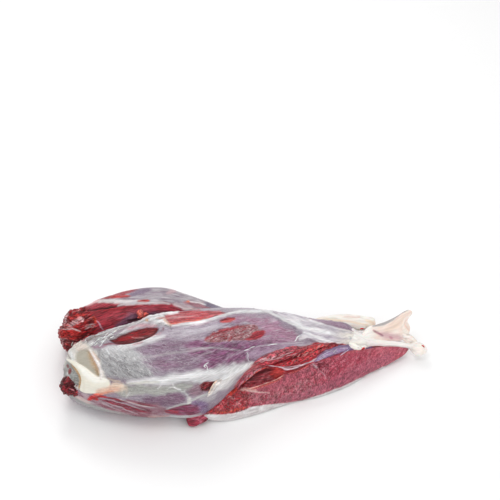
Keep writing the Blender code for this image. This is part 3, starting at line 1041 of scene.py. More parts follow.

# %% [markdown]
# Where membranes meet or fold they show as pale lines, and blood shows dark along the cuts; one thin
# dark grey line is painted shade in a crease. Each line is a row of a table, so that one loop paints
# them all, from the broad seam to the thin forks.

# %% Seam, lines and edges on the big muscle
BELLY_LINES = (
    # colour, strength, width, edge, height, line
    (WHITE, 0.9, 5, 5, 1.0, ((128, 382.5), (150, 381), (166, 380), (190, 376.5), (212, 373), (232, 369),
                             (246, 366))),
    (BRIGHT_WHITE, 0.85, 2.4, 2.6, 0.5, ((150, 381.5), (164, 380.5), (180, 377.8), (200, 375),
                                         (214, 373.5))),
    (srgb(214, 212, 200), 0.7, 2.2, 2, 0.3, ((128, 383.6), (146, 382.6), (160, 381.6))),
    (BRIGHT_WHITE, 0.8, 4, 3, 0.4, ((238, 371), (246, 366), (252, 362.5))),
    (srgb(176, 170, 172), 0.6, 2, 2.4, 0, ((140, 357), (150, 357.5), (160, 355), (176, 352.5), (196, 350.5),
                                           (214, 347.6))),
    (srgb(178, 172, 178), 0.7, 1.6, 2, 0.2, ((180, 349.5), (198, 348.4), (214, 347.6), (224, 349),
                                             (240, 350.5))),
    (srgb(196, 186, 196), 0.7, 1.4, 1.8, 0.2, ((256, 346.5), (268, 345), (284, 343), (304, 343))),
    (srgb(190, 176, 190), 0.6, 1.8, 2, 0.2, ((248, 352), (246.6, 356), (247.5, 361))),
    (srgb(184, 168, 182), 0.5, 1.6, 2, 0.1, ((226, 359), (230, 355.5), (240, 352.4), (247, 350))),
    (srgb(176, 162, 174), 0.5, 2.4, 2.4, 0.1, ((192, 363), (198, 358), (206, 353), (214, 351))),
    (srgb(196, 190, 196), 0.6, 2, 2.2, 0.2, ((256, 362), (268, 355.5), (282, 349), (300, 345.4),
                                             (312, 344))),
    (WHITE, 0.9, 3.4, 2.6, 0.9, ((172, 326), (184, 324.4), (196, 323.4), (208, 320.4), (220, 316.4),
                                 (232, 313.6))),
    (BRIGHT_WHITE, 0.9, 3.6, 2, 0.7, ((190, 323.8), (198, 324), (206, 321.6))),
    (srgb(178, 136, 156), 0.6, 1.4, 1.6, 0, ((190, 326), (202, 324.6), (212, 321))),
    (BRIGHT_WHITE, 0.95, 2.4, 1.8, 1.1, ((118, 346), (127, 344.6), (137, 343), (147, 339.8), (157, 335.6))),
    (WHITE, 0.7, 5, 4, 0.6, ((104, 348.5), (118, 348.4), (134, 346.5), (150, 341.5), (164, 336))),
    (srgb(150, 62, 82), 0.85, 1.6, 1.6, -0.4, ((103, 344.8), (110, 343.6), (118, 343.8), (124, 344.4))),
    (srgb(150, 106, 126), 0.75, 2.2, 2.2, -0.3, ((88, 347.6), (96, 346.8), (104, 346.6))),
    (PINK, 0.8, 2.2, 1.8, 0.4, ((151, 336.6), (156, 334.6), (161, 332.2))),
    (PINK, 0.6, 1.6, 1.8, 0, ((133, 345), (139, 343.4), (143, 342.2))),
    (srgb(96, 30, 48), 0.85, 2.4, 1.8, -0.4, ((160.5, 330.8), (163, 329), (163.5, 327.4))),
    (srgb(150, 142, 156), 0.7, 4, 3, 0, ((160, 326.5), (160.5, 331), (156, 334))),
    # painted shade in a narrow crease, pressed in
    (CREASE_SHADE, 0.9, 1.3, 1.4, -0.9, ((157.5, 321.6), (162, 324), (166.5, 325.4), (169.6, 326.4),
                                      (171.2, 329.4))),
    (srgb(196, 196, 194), 0.8, 1.6, 1.6, 0.2, ((184, 391.5), (187.5, 395), (190, 400))),
    (srgb(222, 221, 221), 0.9, 7, 4, 0.8, ((220, 380), (230, 374), (240, 369), (248, 366))),
    (srgb(228, 226, 225), 0.9, 6, 2.4, 0.8, ((236, 372), (226, 378.6), (219, 386), (214, 392))),
    (BRIGHT_WHITE, 0.8, 2, 1.6, 0.5, ((244, 367), (236, 371), (228, 374.6), (222, 379))),
    (srgb(204, 204, 200), 0.9, 4.4, 2.4, 0.5, ((190, 397.6), (189.5, 401), (188, 403.6))),
    (srgb(190, 190, 188), 0.9, 2.2, 1.8, 0.4, ((191, 401), (198, 397.6), (204, 395), (209, 393))),
    (srgb(196, 198, 196), 0.9, 2.2, 1.8, 0.4, ((188, 403.5), (181, 404.6), (174, 406.8), (167, 409.2))),
    (WHITE, 0.85, 1.1, 1.2, 0.3, ((157, 389), (159.4, 386.6), (162, 384.6))),
    (BRIGHT_WHITE, 0.85, 1.3, 1.2, 0.3, ((173.4, 383.6), (174, 387.2), (177.6, 388.6), (181, 389.6))),
    (WHITE, 0.7, 1.0, 1.2, 0.2, ((166, 389.8), (170, 387.4), (174.4, 387))),
    (WHITE, 0.7, 1.0, 1.2, 0.2, ((180, 389.4), (183, 392.6), (186, 390))),
    (WHITE, 0.6, 1.2, 1.4, 0.3, ((126.6, 397.4), (128, 394.6), (130, 392.4))),
)
belly.strokes(BELLY_LINES)
print("lines:", len(BELLY_LINES))

# %% [markdown]
# Below the seam the membrane was pulled off in stripes, and dark flesh shows between what is left.
# The stripes alternate, dark and pressed in, pale and raised, and run to a point as the tear did.

# %% The torn lower side
FASCIA = ((66, 392), (80, 400), (100, 410), (128, 418), (176, 420), (208, 422), (208, 414), (180, 415),
          (150, 414), (124, 408), (100, 400), (82, 393))
fascia = belly.blot(FASCIA, 3, 1)
belly.put(srgb(142, 100, 114), fascia, 0, 0.9, 0.4)
belly.lean -= 0.5 * fascia
belly.mottle(fascia, belly.grit(1.8, 42, 9, -18), srgb(186, 176, 182), srgb(126, 66, 86), 0.7)
LOWER_STRIPES = (
    # colour, strength, width, edge, height, line
    (srgb(132, 52, 72), 0.8, 7, 4, -0.3, ((106, 400), (118, 404), (134, 409), (150, 412))),
    (srgb(136, 58, 76), 0.6, 4, 3, -0.3, ((100, 404), (114, 409.6), (130, 414), (150, 416.4))),
    (srgb(140, 18, 34), 0.9, 1.8, 1.4, -0.4, ((104, 396.6), (113, 398.6), (124, 401.2), (138, 403.8),
                                              (150, 406))),
    (srgb(150, 34, 50), 0.85, 1.3, 1.2, -0.3, ((100, 399.4), (110, 402.8), (122, 406.8), (132, 410.6))),
    (srgb(144, 30, 48), 0.8, 1.3, 1.2, -0.3, ((112, 401.4), (124, 405), (136, 409.2), (146, 413))),
    (srgb(132, 40, 66), 0.7, 1.6, 1.6, -0.2, ((126, 399.6), (140, 402.4), (156, 406))),
    (srgb(190, 176, 184), 0.8, 1.0, 1.1, 0.2, ((103, 398), (112, 400.4), (124, 403.6), (136, 407),
                                               (146, 410.6))),
    (srgb(186, 170, 178), 0.75, 1.0, 1.1, 0.2, ((106, 402.6), (116, 406), (128, 410.6), (138, 414))),
    (srgb(196, 188, 192), 0.8, 1.1, 1.2, 0.3, ((120, 399.4), (130, 402.6), (142, 405.4), (154, 408))),
    (srgb(176, 158, 166), 0.7, 1.2, 1.4, 0.2, ((102, 402.4), (110, 406.4), (120, 411))),
    (srgb(150, 150, 148), 0.95, 4, 2, 0.0, ((70, 396.4), (80, 401), (92, 406.6), (108, 412), (130, 416.6))),
    (srgb(206, 184, 178), 0.8, 3, 2.4, 0.2, ((76, 396.4), (83, 399.6), (90, 403))),
    (srgb(176, 152, 160), 0.8, 4, 3, 0.2, ((82, 393.6), (88, 395.6), (84, 398))),
    (srgb(206, 40, 38), 0.95, 4.4, 2.2, 0.8, ((88.6, 399.6), (92.6, 396.8), (96, 397.4), (98, 400))),
    (srgb(120, 14, 26), 0.8, 1.6, 1.4, -0.4, ((93, 398.6), (96.6, 398.6))),
    (srgb(222, 96, 78), 0.9, 3, 2, 0.6, ((94, 393.6), (98, 394.4), (103, 393.8))),
    (srgb(170, 14, 24), 0.95, 2.2, 1.6, 0.3, ((97.6, 396.4), (102, 396.2), (106.4, 396.8))),
    (srgb(196, 150, 140), 0.7, 1.6, 1.8, 0.2, ((148, 416.8), (160, 416.8), (171, 415.8))),
    (srgb(184, 186, 188), 0.95, 4.6, 2.4, 0.2, ((170, 416.6), (184, 417.6), (200, 416.4), (210, 416.6))),
)
belly.strokes(LOWER_STRIPES)
WEDGE = ((164, 411), (174, 407), (186, 403.8), (199, 405), (203, 409), (198, 414.4), (186, 415.6),
         (172, 414.6))
WEDGE_POINT = ((166, 411.4), (172, 410.8), (178, 412))
VIOLET_PATCH = ((192, 401.5), (200, 400.5), (208.5, 401), (209, 413), (200, 414), (199, 407), (192, 405))
LOOSE_SKIN = ((200, 398), (209, 393), (219, 389), (216, 397), (209, 402), (200, 401))
wedge = belly.blot(WEDGE, 1.8, 0.8)
belly.put(srgb(132, 44, 78), wedge, 0.2, 0.95)
belly.put(srgb(164, 40, 54), belly.stroke(WEDGE_POINT, 4, 2.4), 0, 0.9)
violet = belly.blot(VIOLET_PATCH, 3, 1)
belly.put(srgb(112, 84, 126), violet, 0, 0.9)
belly.mottle(wedge + violet, belly.grit(1.6, 43, 4, -15), srgb(150, 110, 140), srgb(86, 40, 70), 0.5)
belly.put(srgb(176, 172, 176), belly.blot(LOOSE_SKIN, 3, 1), 0, 0.6)
print("lower side torn")

# %% [markdown]
# Fascia is the loose web between muscles. Where it was pulled apart it stands up in wet white hairs.
# A slanted noise both colours and lifts it, and a lean of one turns the material's fibres with it.

# %% The fascia at the top of the knee end
FUZZ = ((64, 350), (68, 343), (76, 341), (84, 336.5), (98, 333.5), (112, 329), (128, 324), (150, 316),
        (164, 311.5), (176, 311.5), (170, 318), (168, 324), (158, 325), (140, 326.8), (128, 331),
        (116, 336), (108, 341), (102, 344), (88, 347), (88, 350), (74, 352))
fuzz = belly.blot(FUZZ, 2.2, 1.2) * (1 - window) * (1 - open_back)
hair = belly.grit(1.5, 41, 7, 22) + 0.5 * belly.grit(3.0, 44, 5, 28)
belly.put(srgb(142, 136, 140), fuzz, 0.6, 1, 0.8)
belly.lean = belly.lean * (1 - fuzz) + fuzz
belly.mottle(fuzz, hair, srgb(220, 219, 218), srgb(104, 102, 102), 0.9)
belly.lift += 0.9 * fuzz * hair
FUZZ_LINES = (
    # colour, strength, width, edge, height, line
    (BRIGHT_WHITE, 0.9, 2.4, 2, 1.0, ((106, 331), (116, 327.6), (126, 325), (138, 321.6), (150, 317),
                                      (158, 315.4))),
    (srgb(118, 102, 112), 0.85, 4, 2.6, -0.3, ((102, 338), (112, 334), (122, 331.4))),
    (BRIGHT_WHITE, 0.95, 3.4, 2, 0.8, ((156, 315.6), (163, 312.6), (170, 312.8), (178, 312))),
    # painted shadow under a loose white strand
    (srgb(112, 100, 84), 0.8, 1.4, 1.6, -0.7, ((89, 339.8), (97, 336.6), (106, 333.2))),
    (srgb(156, 138, 150), 0.8, 3, 2.6, 0, ((114, 334), (126, 329.6), (140, 325.6), (154, 323))),
    (srgb(214, 150, 158), 0.6, 1.6, 1.8, 0, ((128, 329.6), (136, 327), (146, 325.6), (157, 325.4))),
    (srgb(214, 132, 118), 0.7, 1.8, 1.8, 0.3, ((156, 319), (162, 318), (168, 318.6))),
    (srgb(206, 150, 96), 0.8, 2, 1.8, 0.3, ((146, 321), (148, 320.6))),
    (BRIGHT_WHITE, 0.85, 2, 1.8, 0.6, ((150, 320.6), (158, 317.4), (164, 316))),
    (BRIGHT_WHITE, 0.9, 2.2, 2, 0.6, ((157.6, 322), (163, 321.6), (169, 325))),
    (srgb(228, 180, 150), 0.8, 2.2, 2, 0.4, ((164, 320), (168, 323.4), (172, 325.6))),
    (srgb(206, 120, 124), 0.6, 2, 2, 0, ((78, 343), (84, 340), (88, 338))),
    (srgb(196, 96, 100), 0.6, 2, 2, 0, ((70, 344.6), (74, 342.4))),
)
belly.strokes(FUZZ_LINES)
print("fascia teased out")

# %% [markdown]
# At the knee the muscle was attached. A broad smooth ligament crosses it, with a recess above, from
# which the bone was cut, and a hollow below it. The hollow's grey is partly painted shade, an ochre
# painted shade runs along the band's edge beside it, and a painted highlight lies on the band's top.
# SLICK is the marble of the smooth parts.

# %% The knee end of the big muscle
SLICK = -0.45
KNEE_CREAM = ((62, 347), (74, 341), (88, 343), (96, 352), (103, 372), (108, 382), (96, 394), (80, 392),
              (64, 380), (62, 360))
KNEE_CORNER = ((72, 343), (82, 342), (89, 347), (86, 350.6), (76, 352))
RECESS = ((74.6, 355), (78, 350.6), (83, 349), (88.4, 350), (90, 354.5), (93.4, 361), (96.6, 368.6),
          (99.4, 377.6), (95.5, 376), (91, 372), (86, 367.8), (81, 364.6), (76, 361.6))
RECESS_LINES = (
    # colour, strength, width, edge, height, line
    (srgb(184, 152, 112), 0.85, 5, 4.5, 0, ((88, 351), (92, 360), (95.4, 367), (98, 375))),
    (srgb(146, 122, 82), 0.8, 2.2, 2.2, 0, ((95.6, 371), (98.6, 377))),
)
HOLLOW = ((66, 361), (70, 363), (76, 369), (80, 377), (79, 388), (72, 384), (64, 384), (62, 374), (64, 366))
# painted shade: the ochre shadow side along the band's edge
BAND_EDGE_SHADE = ((71, 364), (75.6, 368.6), (79, 374), (80.4, 380), (79.4, 388))
BAND = ((66, 359), (69, 359.4), (75, 361.4), (82, 364.8), (88, 369), (93.4, 373.8), (99, 378), (107, 378.6),
        (110.6, 381), (110, 391), (98, 392.6), (90, 393.6), (83, 392), (79.4, 390), (81.6, 383),
        (81.4, 377.6), (78.4, 371.4), (73.4, 365.6), (69, 362))
# painted highlight on the top of the smooth band
BAND_HIGHLIGHT = ((76, 364), (84, 368), (92, 375), (104, 379), (109, 382), (96, 383.6), (87, 379))
BAND_LINES = (
    # colour, strength, width, edge, height, line
    (srgb(212, 206, 188), 0.5, 2.4, 3, 0, ((78, 369.4), (82.6, 376), (85, 384), (84, 391))),
    (srgb(222, 217, 206), 0.5, 3, 4, 0, ((84, 386), (92, 388.4), (104, 388))),
)
belly.put(srgb(206, 200, 192), belly.blot(KNEE_CREAM, 4, 1.2))
belly.put(srgb(214, 198, 186), belly.blot(KNEE_CORNER, 3, 1), 0, 0.8)
recess = belly.blot(RECESS, 1.4, 0.2)
belly.put(srgb(172, 166, 152), recess, -2.0, 1.0, -0.4)
belly.strokes(RECESS_LINES)
# the hollow's grey membrane, darkened partly as painted shade
hollow = belly.blot(HOLLOW, 2.4, 0.5)
belly.put(srgb(136, 138, 134), hollow, -1.6)
belly.mottle(hollow, belly.grit(2.4, 45, 2, 70), srgb(170, 168, 164), srgb(104, 98, 90), 0.6)
# painted shade: an ochre shadow side along the band's edge
belly.put(srgb(196, 150, 92), belly.stroke(BAND_EDGE_SHADE, 3.6, 2.2), -0.4, 0.95)
belly.put(srgb(232, 228, 214), belly.blot(BAND, 1.2, 0.1), 1.3, 1.0, SLICK)
# painted highlight on the band
belly.put(srgb(246, 244, 236), belly.blot(BAND_HIGHLIGHT, 4, 0.6), 0.4, 0.9, SLICK)
belly.strokes(BAND_LINES, marble=SLICK)
KNEE_LINES = (
    # colour, strength, width, edge, height, line
    (srgb(222, 196, 174), 0.9, 9, 5, 1.6, ((111, 386.5), (118, 386.8), (124, 388))),
    (srgb(222, 176, 152), 0.85, 6, 4, 0.6, ((98, 391), (108, 390), (119, 389))),
    (srgb(226, 150, 122), 0.8, 2, 2, 0, ((97, 393), (106, 392.6), (114, 391))),
    (srgb(226, 214, 200), 0.5, 1.6, 2, 0.2, ((121.6, 394), (122.6, 389), (123.6, 384))),
    (srgb(196, 176, 160), 0.5, 2, 2.4, 0, ((126.6, 394), (127.2, 389), (126.6, 384.6))),
    (srgb(190, 168, 146), 0.7, 2, 2, 0, ((108, 378), (110.6, 380.4), (120, 381.4))),
    (srgb(238, 228, 224), 0.95, 2.4, 1.6, 1.6, ((89.6, 350), (93, 355), (96.4, 360.6), (100, 367),
                                                (102, 374), (101.6, 379))),
    (srgb(214, 160, 126), 0.75, 1.2, 1.4, 0, ((89, 352), (92.4, 359), (96, 366), (98.6, 373))),
    (srgb(206, 170, 150), 0.7, 2, 2, 0.2, ((93, 352), (96, 356.6), (99.6, 360))),
    (srgb(216, 216, 214), 0.9, 4, 3, 0.5, ((69, 351), (72, 355), (73, 360))),
    (srgb(122, 110, 94), 0.9, 2, 1.8, -0.8, ((67.4, 353.6), (69, 357), (70.6, 359))),
    (srgb(150, 152, 150), 0.9, 2, 1.8, 0, ((66, 353), (65.4, 358), (66.4, 362))),
    (srgb(120, 30, 36), 0.95, 2.4, 1.4, 0.3, ((66.4, 364.4), (66.8, 367.4))),
    (srgb(128, 40, 42), 0.95, 3.4, 1.8, 0.3, ((69, 368.4), (68.6, 371.6), (68, 373.6))),
    (srgb(128, 22, 32), 0.95, 2.6, 1.6, 0.5, ((65, 375.6), (64.6, 380), (64.4, 384))),
    (srgb(206, 206, 204), 0.8, 1.4, 1.4, 0.4, ((66.6, 372), (66, 375), (69, 377.4))),
)
belly.strokes(KNEE_LINES, 0.3)
print("ligament, recess and hollow made")

# %% [markdown]
# The sides that the camera never sees are painted by noise alone: the same silverskin, patches where
# more of the flesh shows through, and bare flesh at the end that was cut.

# %% The hidden sides of the big muscle
unseen = 1 - belly.facing
under = smooth(0.3, -0.5, belly.normals[:, 2]) * unseen
belly.tint(srgb(146, 90, 108), under * smooth(-0.4, 0.6, cloud))
belly.tint(SILVER, unseen * smooth(0.1, 0.7, belly.grit(22, 46, 2.5)) * 0.8)
belly.mottle(unseen, belly.grit(2.6, 47, 6), srgb(196, 190, 198), srgb(126, 92, 116), 0.5)
end_cut = unseen * smooth(-188, -197, belly.points[:, 0] + 4 * belly.grit(7, 48))
belly.put(srgb(140, 34, 46), end_cut, -0.5, 1.0, 0.6)
belly.mottle(end_cut, belly.grit(2.2, 49), srgb(206, 120, 124), srgb(84, 8, 18), 0.7)
belly.done(SKIN, "silver_skin")

# %% [markdown]
# ## The muscle deep between them
#
# It fills the pocket between the skin and the cut face, dark at the back of the pocket, and comes up
# to the surface towards the hock, where it is covered with the same bluish membrane.

# %% The deep muscle
deep = Muscle("deep_muscle", upright(DEEP_RIBS), 220, 200, (ROUND, ROUND))
POCKET = ((236, 389.4), (241, 384), (248, 377), (256, 371), (264, 367), (275, 366.4), (284, 368.6),
          (285.6, 372), (279, 378.4), (266, 382.8), (252, 387.8), (243, 390.4))
POCKET_LIGHT = ((270, 367), (282, 367.6), (285.4, 371), (279, 377.6), (272, 379))
POCKET_SHADE = ((236, 390), (242, 384.6), (249, 378.4), (257, 373), (266, 370), (274, 369))


def pocket_on(piece):
    """Paints the inside of the pocket: black red under the lip, red where light falls in."""
    inside = piece.blot(POCKET, 1.4, 0.3)
    piece.put(srgb(142, 46, 56), inside, 0, 1, 0.1)
    piece.mottle(inside, piece.grit(1.1, 64, 2, 40), srgb(196, 116, 122), srgb(104, 16, 28), 0.6)
    piece.put(srgb(188, 58, 52), piece.blot(POCKET_LIGHT, 4, 1.2), 0, 0.8, -0.2)
    piece.put(srgb(84, 8, 18), piece.stroke(POCKET_SHADE, 4, 3.4), 0, 0.9)


deep.put(srgb(146, 34, 44), np.ones(len(deep.points)), 0, 1, 0.2)
pocket_on(deep)
deep.lift += 0.5 * deep.grit(4, 61, 5)
bulge = smooth(280, 298, deep.spot[:, 0]) * smooth(372, 352, deep.spot[:, 0])
deep.lift += 5.5 * bulge * smooth(-0.2, 0.5, deep.normals[:, 2])
FAR_END = ((311, 363), (316, 358), (325, 351), (346, 345), (372, 345), (372, 352), (350, 358), (330, 362),
           (316, 365))
far = deep.blot(FAR_END, 2, 0.8)
deep.put(srgb(136, 112, 148), far, 0, 1.0)
deep.mottle(far, deep.grit(1.8, 62, 8), srgb(166, 148, 176), srgb(100, 60, 100), 0.8)
deep.done(FLESHY, "red_meat", 0.6)

# %% [markdown]
# ## The cut muscle in front
#
# This one was sliced along its length. Its face shows the grain of the muscle, coarse at the thick
# end, and below it a rim of pale membrane is left.

# %% The cut muscle in front
front = Muscle("cut_muscle", upright(FRONT_RIBS), 280, 250, (ROUND, BLUNT))
grain = front.grit(2.2, 51, 2.5)
front.put(srgb(162, 60, 78), np.ones(len(front.points)), 0, 1, 0.5)
front.tint(srgb(140, 46, 62), smooth(-0.1, 0.7, front.grit(9, 52, 2.5)) * 0.35)
front.tint(srgb(174, 74, 92), smooth(300, 350, front.spot[:, 0]) * 0.7)
front.tint(srgb(188, 92, 106), smooth(355, 385, front.spot[:, 0]) * 0.8)
front.marble -= 0.75 * smooth(306, 352, front.spot[:, 0])
front.lift += 0.25 * front.grit(7, 53, 2) + 0.08 * grain
short = front.grit(1.7, 54, 4, 62)
front.mottle(1, short, srgb(190, 106, 122), srgb(112, 20, 40), 0.4)
front.mottle(1, front.grit(1.1, 67, 2.5, 62), srgb(212, 150, 162), srgb(126, 30, 48), 0.3)

COARSE = ((206, 400), (214, 390), (226, 384), (238, 385), (250, 392), (252, 402), (242, 411), (225, 414),
          (206, 415))
MIDDLE = ((244, 390), (262, 392), (284, 384), (310, 378), (314, 396), (290, 401), (262, 404), (248, 402))
coarse = front.blot(COARSE, 5, 2)
raised, tone = front.bundles(coarse, 1.9, 55, 1.8, 62)
front.put(srgb(166, 14, 34), coarse, 0, 0.95, 0.6)
front.tint(srgb(196, 74, 84), coarse * smooth(0.1, 0.8, tone) * 0.6)
front.tint(srgb(116, 4, 20), coarse * smooth(0.1, 0.8, -tone) * 0.7)
front.tint(srgb(222, 164, 168), coarse * (1 - raised) * smooth(0.2, 0.6, front.grit(3, 56)) * 0.6)
front.tint(BLACK_RED, coarse * (1 - raised) * smooth(0.0, -0.4, front.grit(3, 56)) * 0.5)
front.lift += 0.7 * coarse * (raised - 0.5)
middle = front.blot(MIDDLE, 7, 2)
raised, tone = front.bundles(middle, 1.5, 57, 4, 62)
front.tint(srgb(190, 120, 134), middle * smooth(0.1, 0.7, tone) * 0.6)
front.tint(srgb(120, 28, 48), middle * smooth(0.1, 0.7, -tone) * 0.6)
front.marble += 0.3 * middle
front.lift += 0.3 * middle * (raised - 0.5)
pocket_on(front)
print("grain of the cut face laid")

# %% [markdown]
# Darker and redder fields break up the cut face, one of them a torn patch beside the sinew. A rim of
# pale membrane runs along its lower edge, where the muscle's own skin begins.

# %% Fields and rim of the cut muscle
PATCH = ((312, 364), (318, 361), (327, 361), (329, 366), (324, 370), (316, 370))
FRONT_FIELDS = (
    # colour, strength, edge, height, outline
    (srgb(172, 84, 100), 0.6, 4, 0, ((286, 376), (296, 370), (312, 366), (314, 374), (300, 382), (284, 388),
                                     (266, 392), (262, 386))),
    (srgb(196, 84, 78), 0.7, 1.6, 0.2, ((287, 373), (292, 370.4), (299, 368.4), (308, 364.4), (309, 366.6),
                                        (298, 371), (290, 374.6))),
    (srgb(160, 92, 112), 0.45, 8, 0, ((262, 402), (290, 396), (330, 380), (370, 360), (392, 350),
                                      (396, 360), (360, 380), (320, 396), (280, 404))),
    (srgb(128, 40, 56), 0.9, 2.4, -0.4, PATCH),
    (srgb(196, 56, 44), 0.9, 2.5, 0.4, ((225, 392), (229, 386), (235, 384), (238, 387), (235, 393),
                                        (228, 397))),
)
front.blots(FRONT_FIELDS)
patch = front.blot(PATCH, 2, 1)
front.mottle(patch, front.grit(1.2, 58), srgb(196, 120, 134), srgb(96, 10, 30), 0.9)
FRONT_LINES = (
    # colour, strength, width, edge, height, line
    (srgb(206, 158, 152), 0.85, 3.2, 2, 0.3, ((241, 389.6), (250, 389.4), (257, 391))),
    (srgb(214, 176, 172), 0.8, 1.2, 1.1, 0.3, ((244, 390), (256, 391.6), (264, 392.8), (270, 393))),
    (srgb(196, 92, 84), 0.8, 2.2, 1.8, 0.3, ((284, 376), (276, 381), (266, 384.6), (252, 389))),
    (srgb(186, 140, 152), 0.7, 1.2, 1.4, 0.2, ((321, 371.6), (324, 374), (326, 378.6))),
    (srgb(196, 168, 176), 0.8, 2, 1.6, 0.2, ((313.4, 363.6), (315, 366), (317, 368))),
    (srgb(188, 84, 92), 0.6, 1.6, 1.6, 0.1, ((318, 361.6), (330, 358), (350, 352.6), (366, 348.6))),
    (srgb(206, 84, 62), 0.7, 2, 2, 0, ((216, 412.6), (232, 411.5), (246, 407))),
    (srgb(170, 52, 56), 0.8, 2.4, 2, 0, ((208, 402), (209, 408), (211, 412.6))),
)
front.strokes(FRONT_LINES)
RIM = ((200, 413.5), (225, 415), (240, 411.6), (252, 406), (275, 404.2), (300, 401), (330, 391.5),
       (360, 378.5), (392, 362), (400, 370), (330, 410), (260, 430), (196, 430))
rim = front.blot(RIM, 1.2, 0.5)
front.put(srgb(212, 208, 208), rim, 0.5, 0.95, -0.3)
front.mottle(rim, front.grit(2.2, 59, 12), BRIGHT_WHITE, srgb(176, 164, 168), 0.6)
hidden = 1 - front.facing
front.put(srgb(170, 148, 158), hidden * smooth(-0.2, 0.4, front.grit(14, 60, 3)), 0.0, 0.85)
front.mottle(hidden, front.grit(2.4, 66, 6), srgb(196, 184, 190), srgb(118, 66, 84), 0.5)
front.done(CUT, "red_meat", 0.3)

# %% [markdown]
# ## The muscle behind
#
# It was cut across at the knee end, where its bundles stand out in crags. The bundles are random
# cells, drawn out along the fibres: each is lifted by its own amount, with a dark gap round it.

# %% The muscle behind
# painted light: a sheen along the flank's upper side, and pale highlight streaks on it
BACK_SHEEN = ((98, 320), (112, 312), (130, 308.4), (150, 306), (160, 308), (140, 313), (120, 320))
BACK_HIGHLIGHT = ((112, 320), (120, 315), (132, 312.6), (133, 315), (122, 319))
CRAG = ((54, 330), (62, 312), (74, 305), (88, 309), (95, 318), (96, 332), (84, 345), (66, 354), (54, 345))
CRAG_LUMP = ((52, 328), (64, 327), (70, 333), (64, 339), (52, 338))
CRAG_DENT = ((52, 316), (60, 316), (67, 323), (62, 327), (52, 326))
back = Muscle("back_muscle", upright(BACK_RIBS), 280, 240, (BLUNT, ROUND))
back.put(srgb(160, 50, 64), np.ones(len(back.points)), 0, 1, -0.2)
bundle = back.grit(5, 71, 9)
back.tint(srgb(126, 22, 38), smooth(0.0, 0.8, bundle) * 0.6)
# painted sheen and painted highlight streaks on the flank
back.put(srgb(176, 84, 98), back.blot(BACK_SHEEN, 5, 1.5), 0, 0.6, -0.3)
back.tint(srgb(196, 150, 168), back.blot(BACK_HIGHLIGHT, 3, 2, 3) * 0.5)
back.lift += 0.6 * back.grit(9, 73, 4) + 0.3 * bundle
crag = back.blot(CRAG, 5, 2)
raised, tone = back.bundles(crag, 2.6, 74, 2.6, 24)
back.put(srgb(170, 22, 32), crag, 0, 1.0, 0.05)
back.tint(srgb(202, 54, 50), crag * smooth(0.2, 0.9, tone) * 0.6)
back.tint(srgb(112, 4, 16), crag * smooth(0.1, 0.9, -tone) * 0.7)
back.mottle(crag, back.grit(1.4, 78, 5, 24), srgb(222, 140, 140), srgb(104, 4, 16), 0.55)
back.tint(srgb(84, 4, 12), crag * (1 - raised) * smooth(0.3, -0.2, back.grit(6, 79)) * 0.85)
back.tint(srgb(226, 186, 188), crag * (1 - raised) * smooth(0.2, 0.4, back.grit(5, 79, 2, 24)) * 0.9)
back.lift += crag * (2.2 * (raised - 0.6) + 0.9 * tone)
end_face = smooth(-183, -193, back.points[:, 0]) * (1 - back.facing)
raised, tone = back.bundles(end_face, 3.4, 86, 2.0)
back.tint(srgb(206, 84, 84), end_face * smooth(0.2, 0.9, tone) * 0.7)
back.tint(srgb(84, 6, 14), end_face * (1 - raised) * 0.8)
back.marble += 0.5 * end_face
back.lift += end_face * (1.8 * (raised - 0.6) + 0.7 * tone)
back.lift += 1.8 * back.blot(CRAG_LUMP, 6, 0.5)
back.lift -= 2.2 * back.blot(CRAG_DENT, 6, 0.5)
print("crags raised")

# %% [markdown]
# Along its top the muscle behind still has its own fascia, torn into grey, violet and red bands. Its
# lower side is painted darker and violet as shade, a dark line of painted shade lies where it goes down
# beside the big muscle and in a crease above, and painted highlights run along the top of its red lobe.

# %% Fields and lines of the muscle behind
BACK_FIELDS = (
    # colour, strength, edge, height, outline
    (srgb(180, 44, 42), 0.9, 2.4, 0.9, ((58, 334), (66, 328.5), (76, 331), (85, 334), (79, 337.6),
                                        (71, 340.6), (63, 338.6))),
    (srgb(150, 40, 52), 0.8, 6, 0, ((92, 314), (110, 309), (130, 308), (128, 318), (112, 328), (98, 331))),
    # painted shade: violet shading on the lower side, towards the crease beside the big muscle
    (srgb(92, 58, 84), 0.85, 5, 0, ((112, 327), (124, 318), (134, 312), (158, 311), (170, 311), (158, 317),
                                    (142, 323), (124, 328))),
    (srgb(150, 30, 40), 0.8, 3, 0.2, ((80, 311), (100, 308.6), (122, 305.4), (142, 304), (142, 308),
                                      (118, 310), (92, 315))),
)
back.blots(BACK_FIELDS)
TOP_FASCIA = ((100, 300), (112, 298), (125, 296), (150, 284), (180, 283), (205, 296), (235, 308),
              (230, 316), (205, 311), (186, 306), (166, 302.5), (146, 304), (120, 303))
top = back.blot(TOP_FASCIA, 2, 1)
back.put(srgb(158, 148, 156), top, 0.3)
back.mottle(top, back.grit(1.8, 75, 7), srgb(200, 192, 196), srgb(118, 92, 112), 0.7)
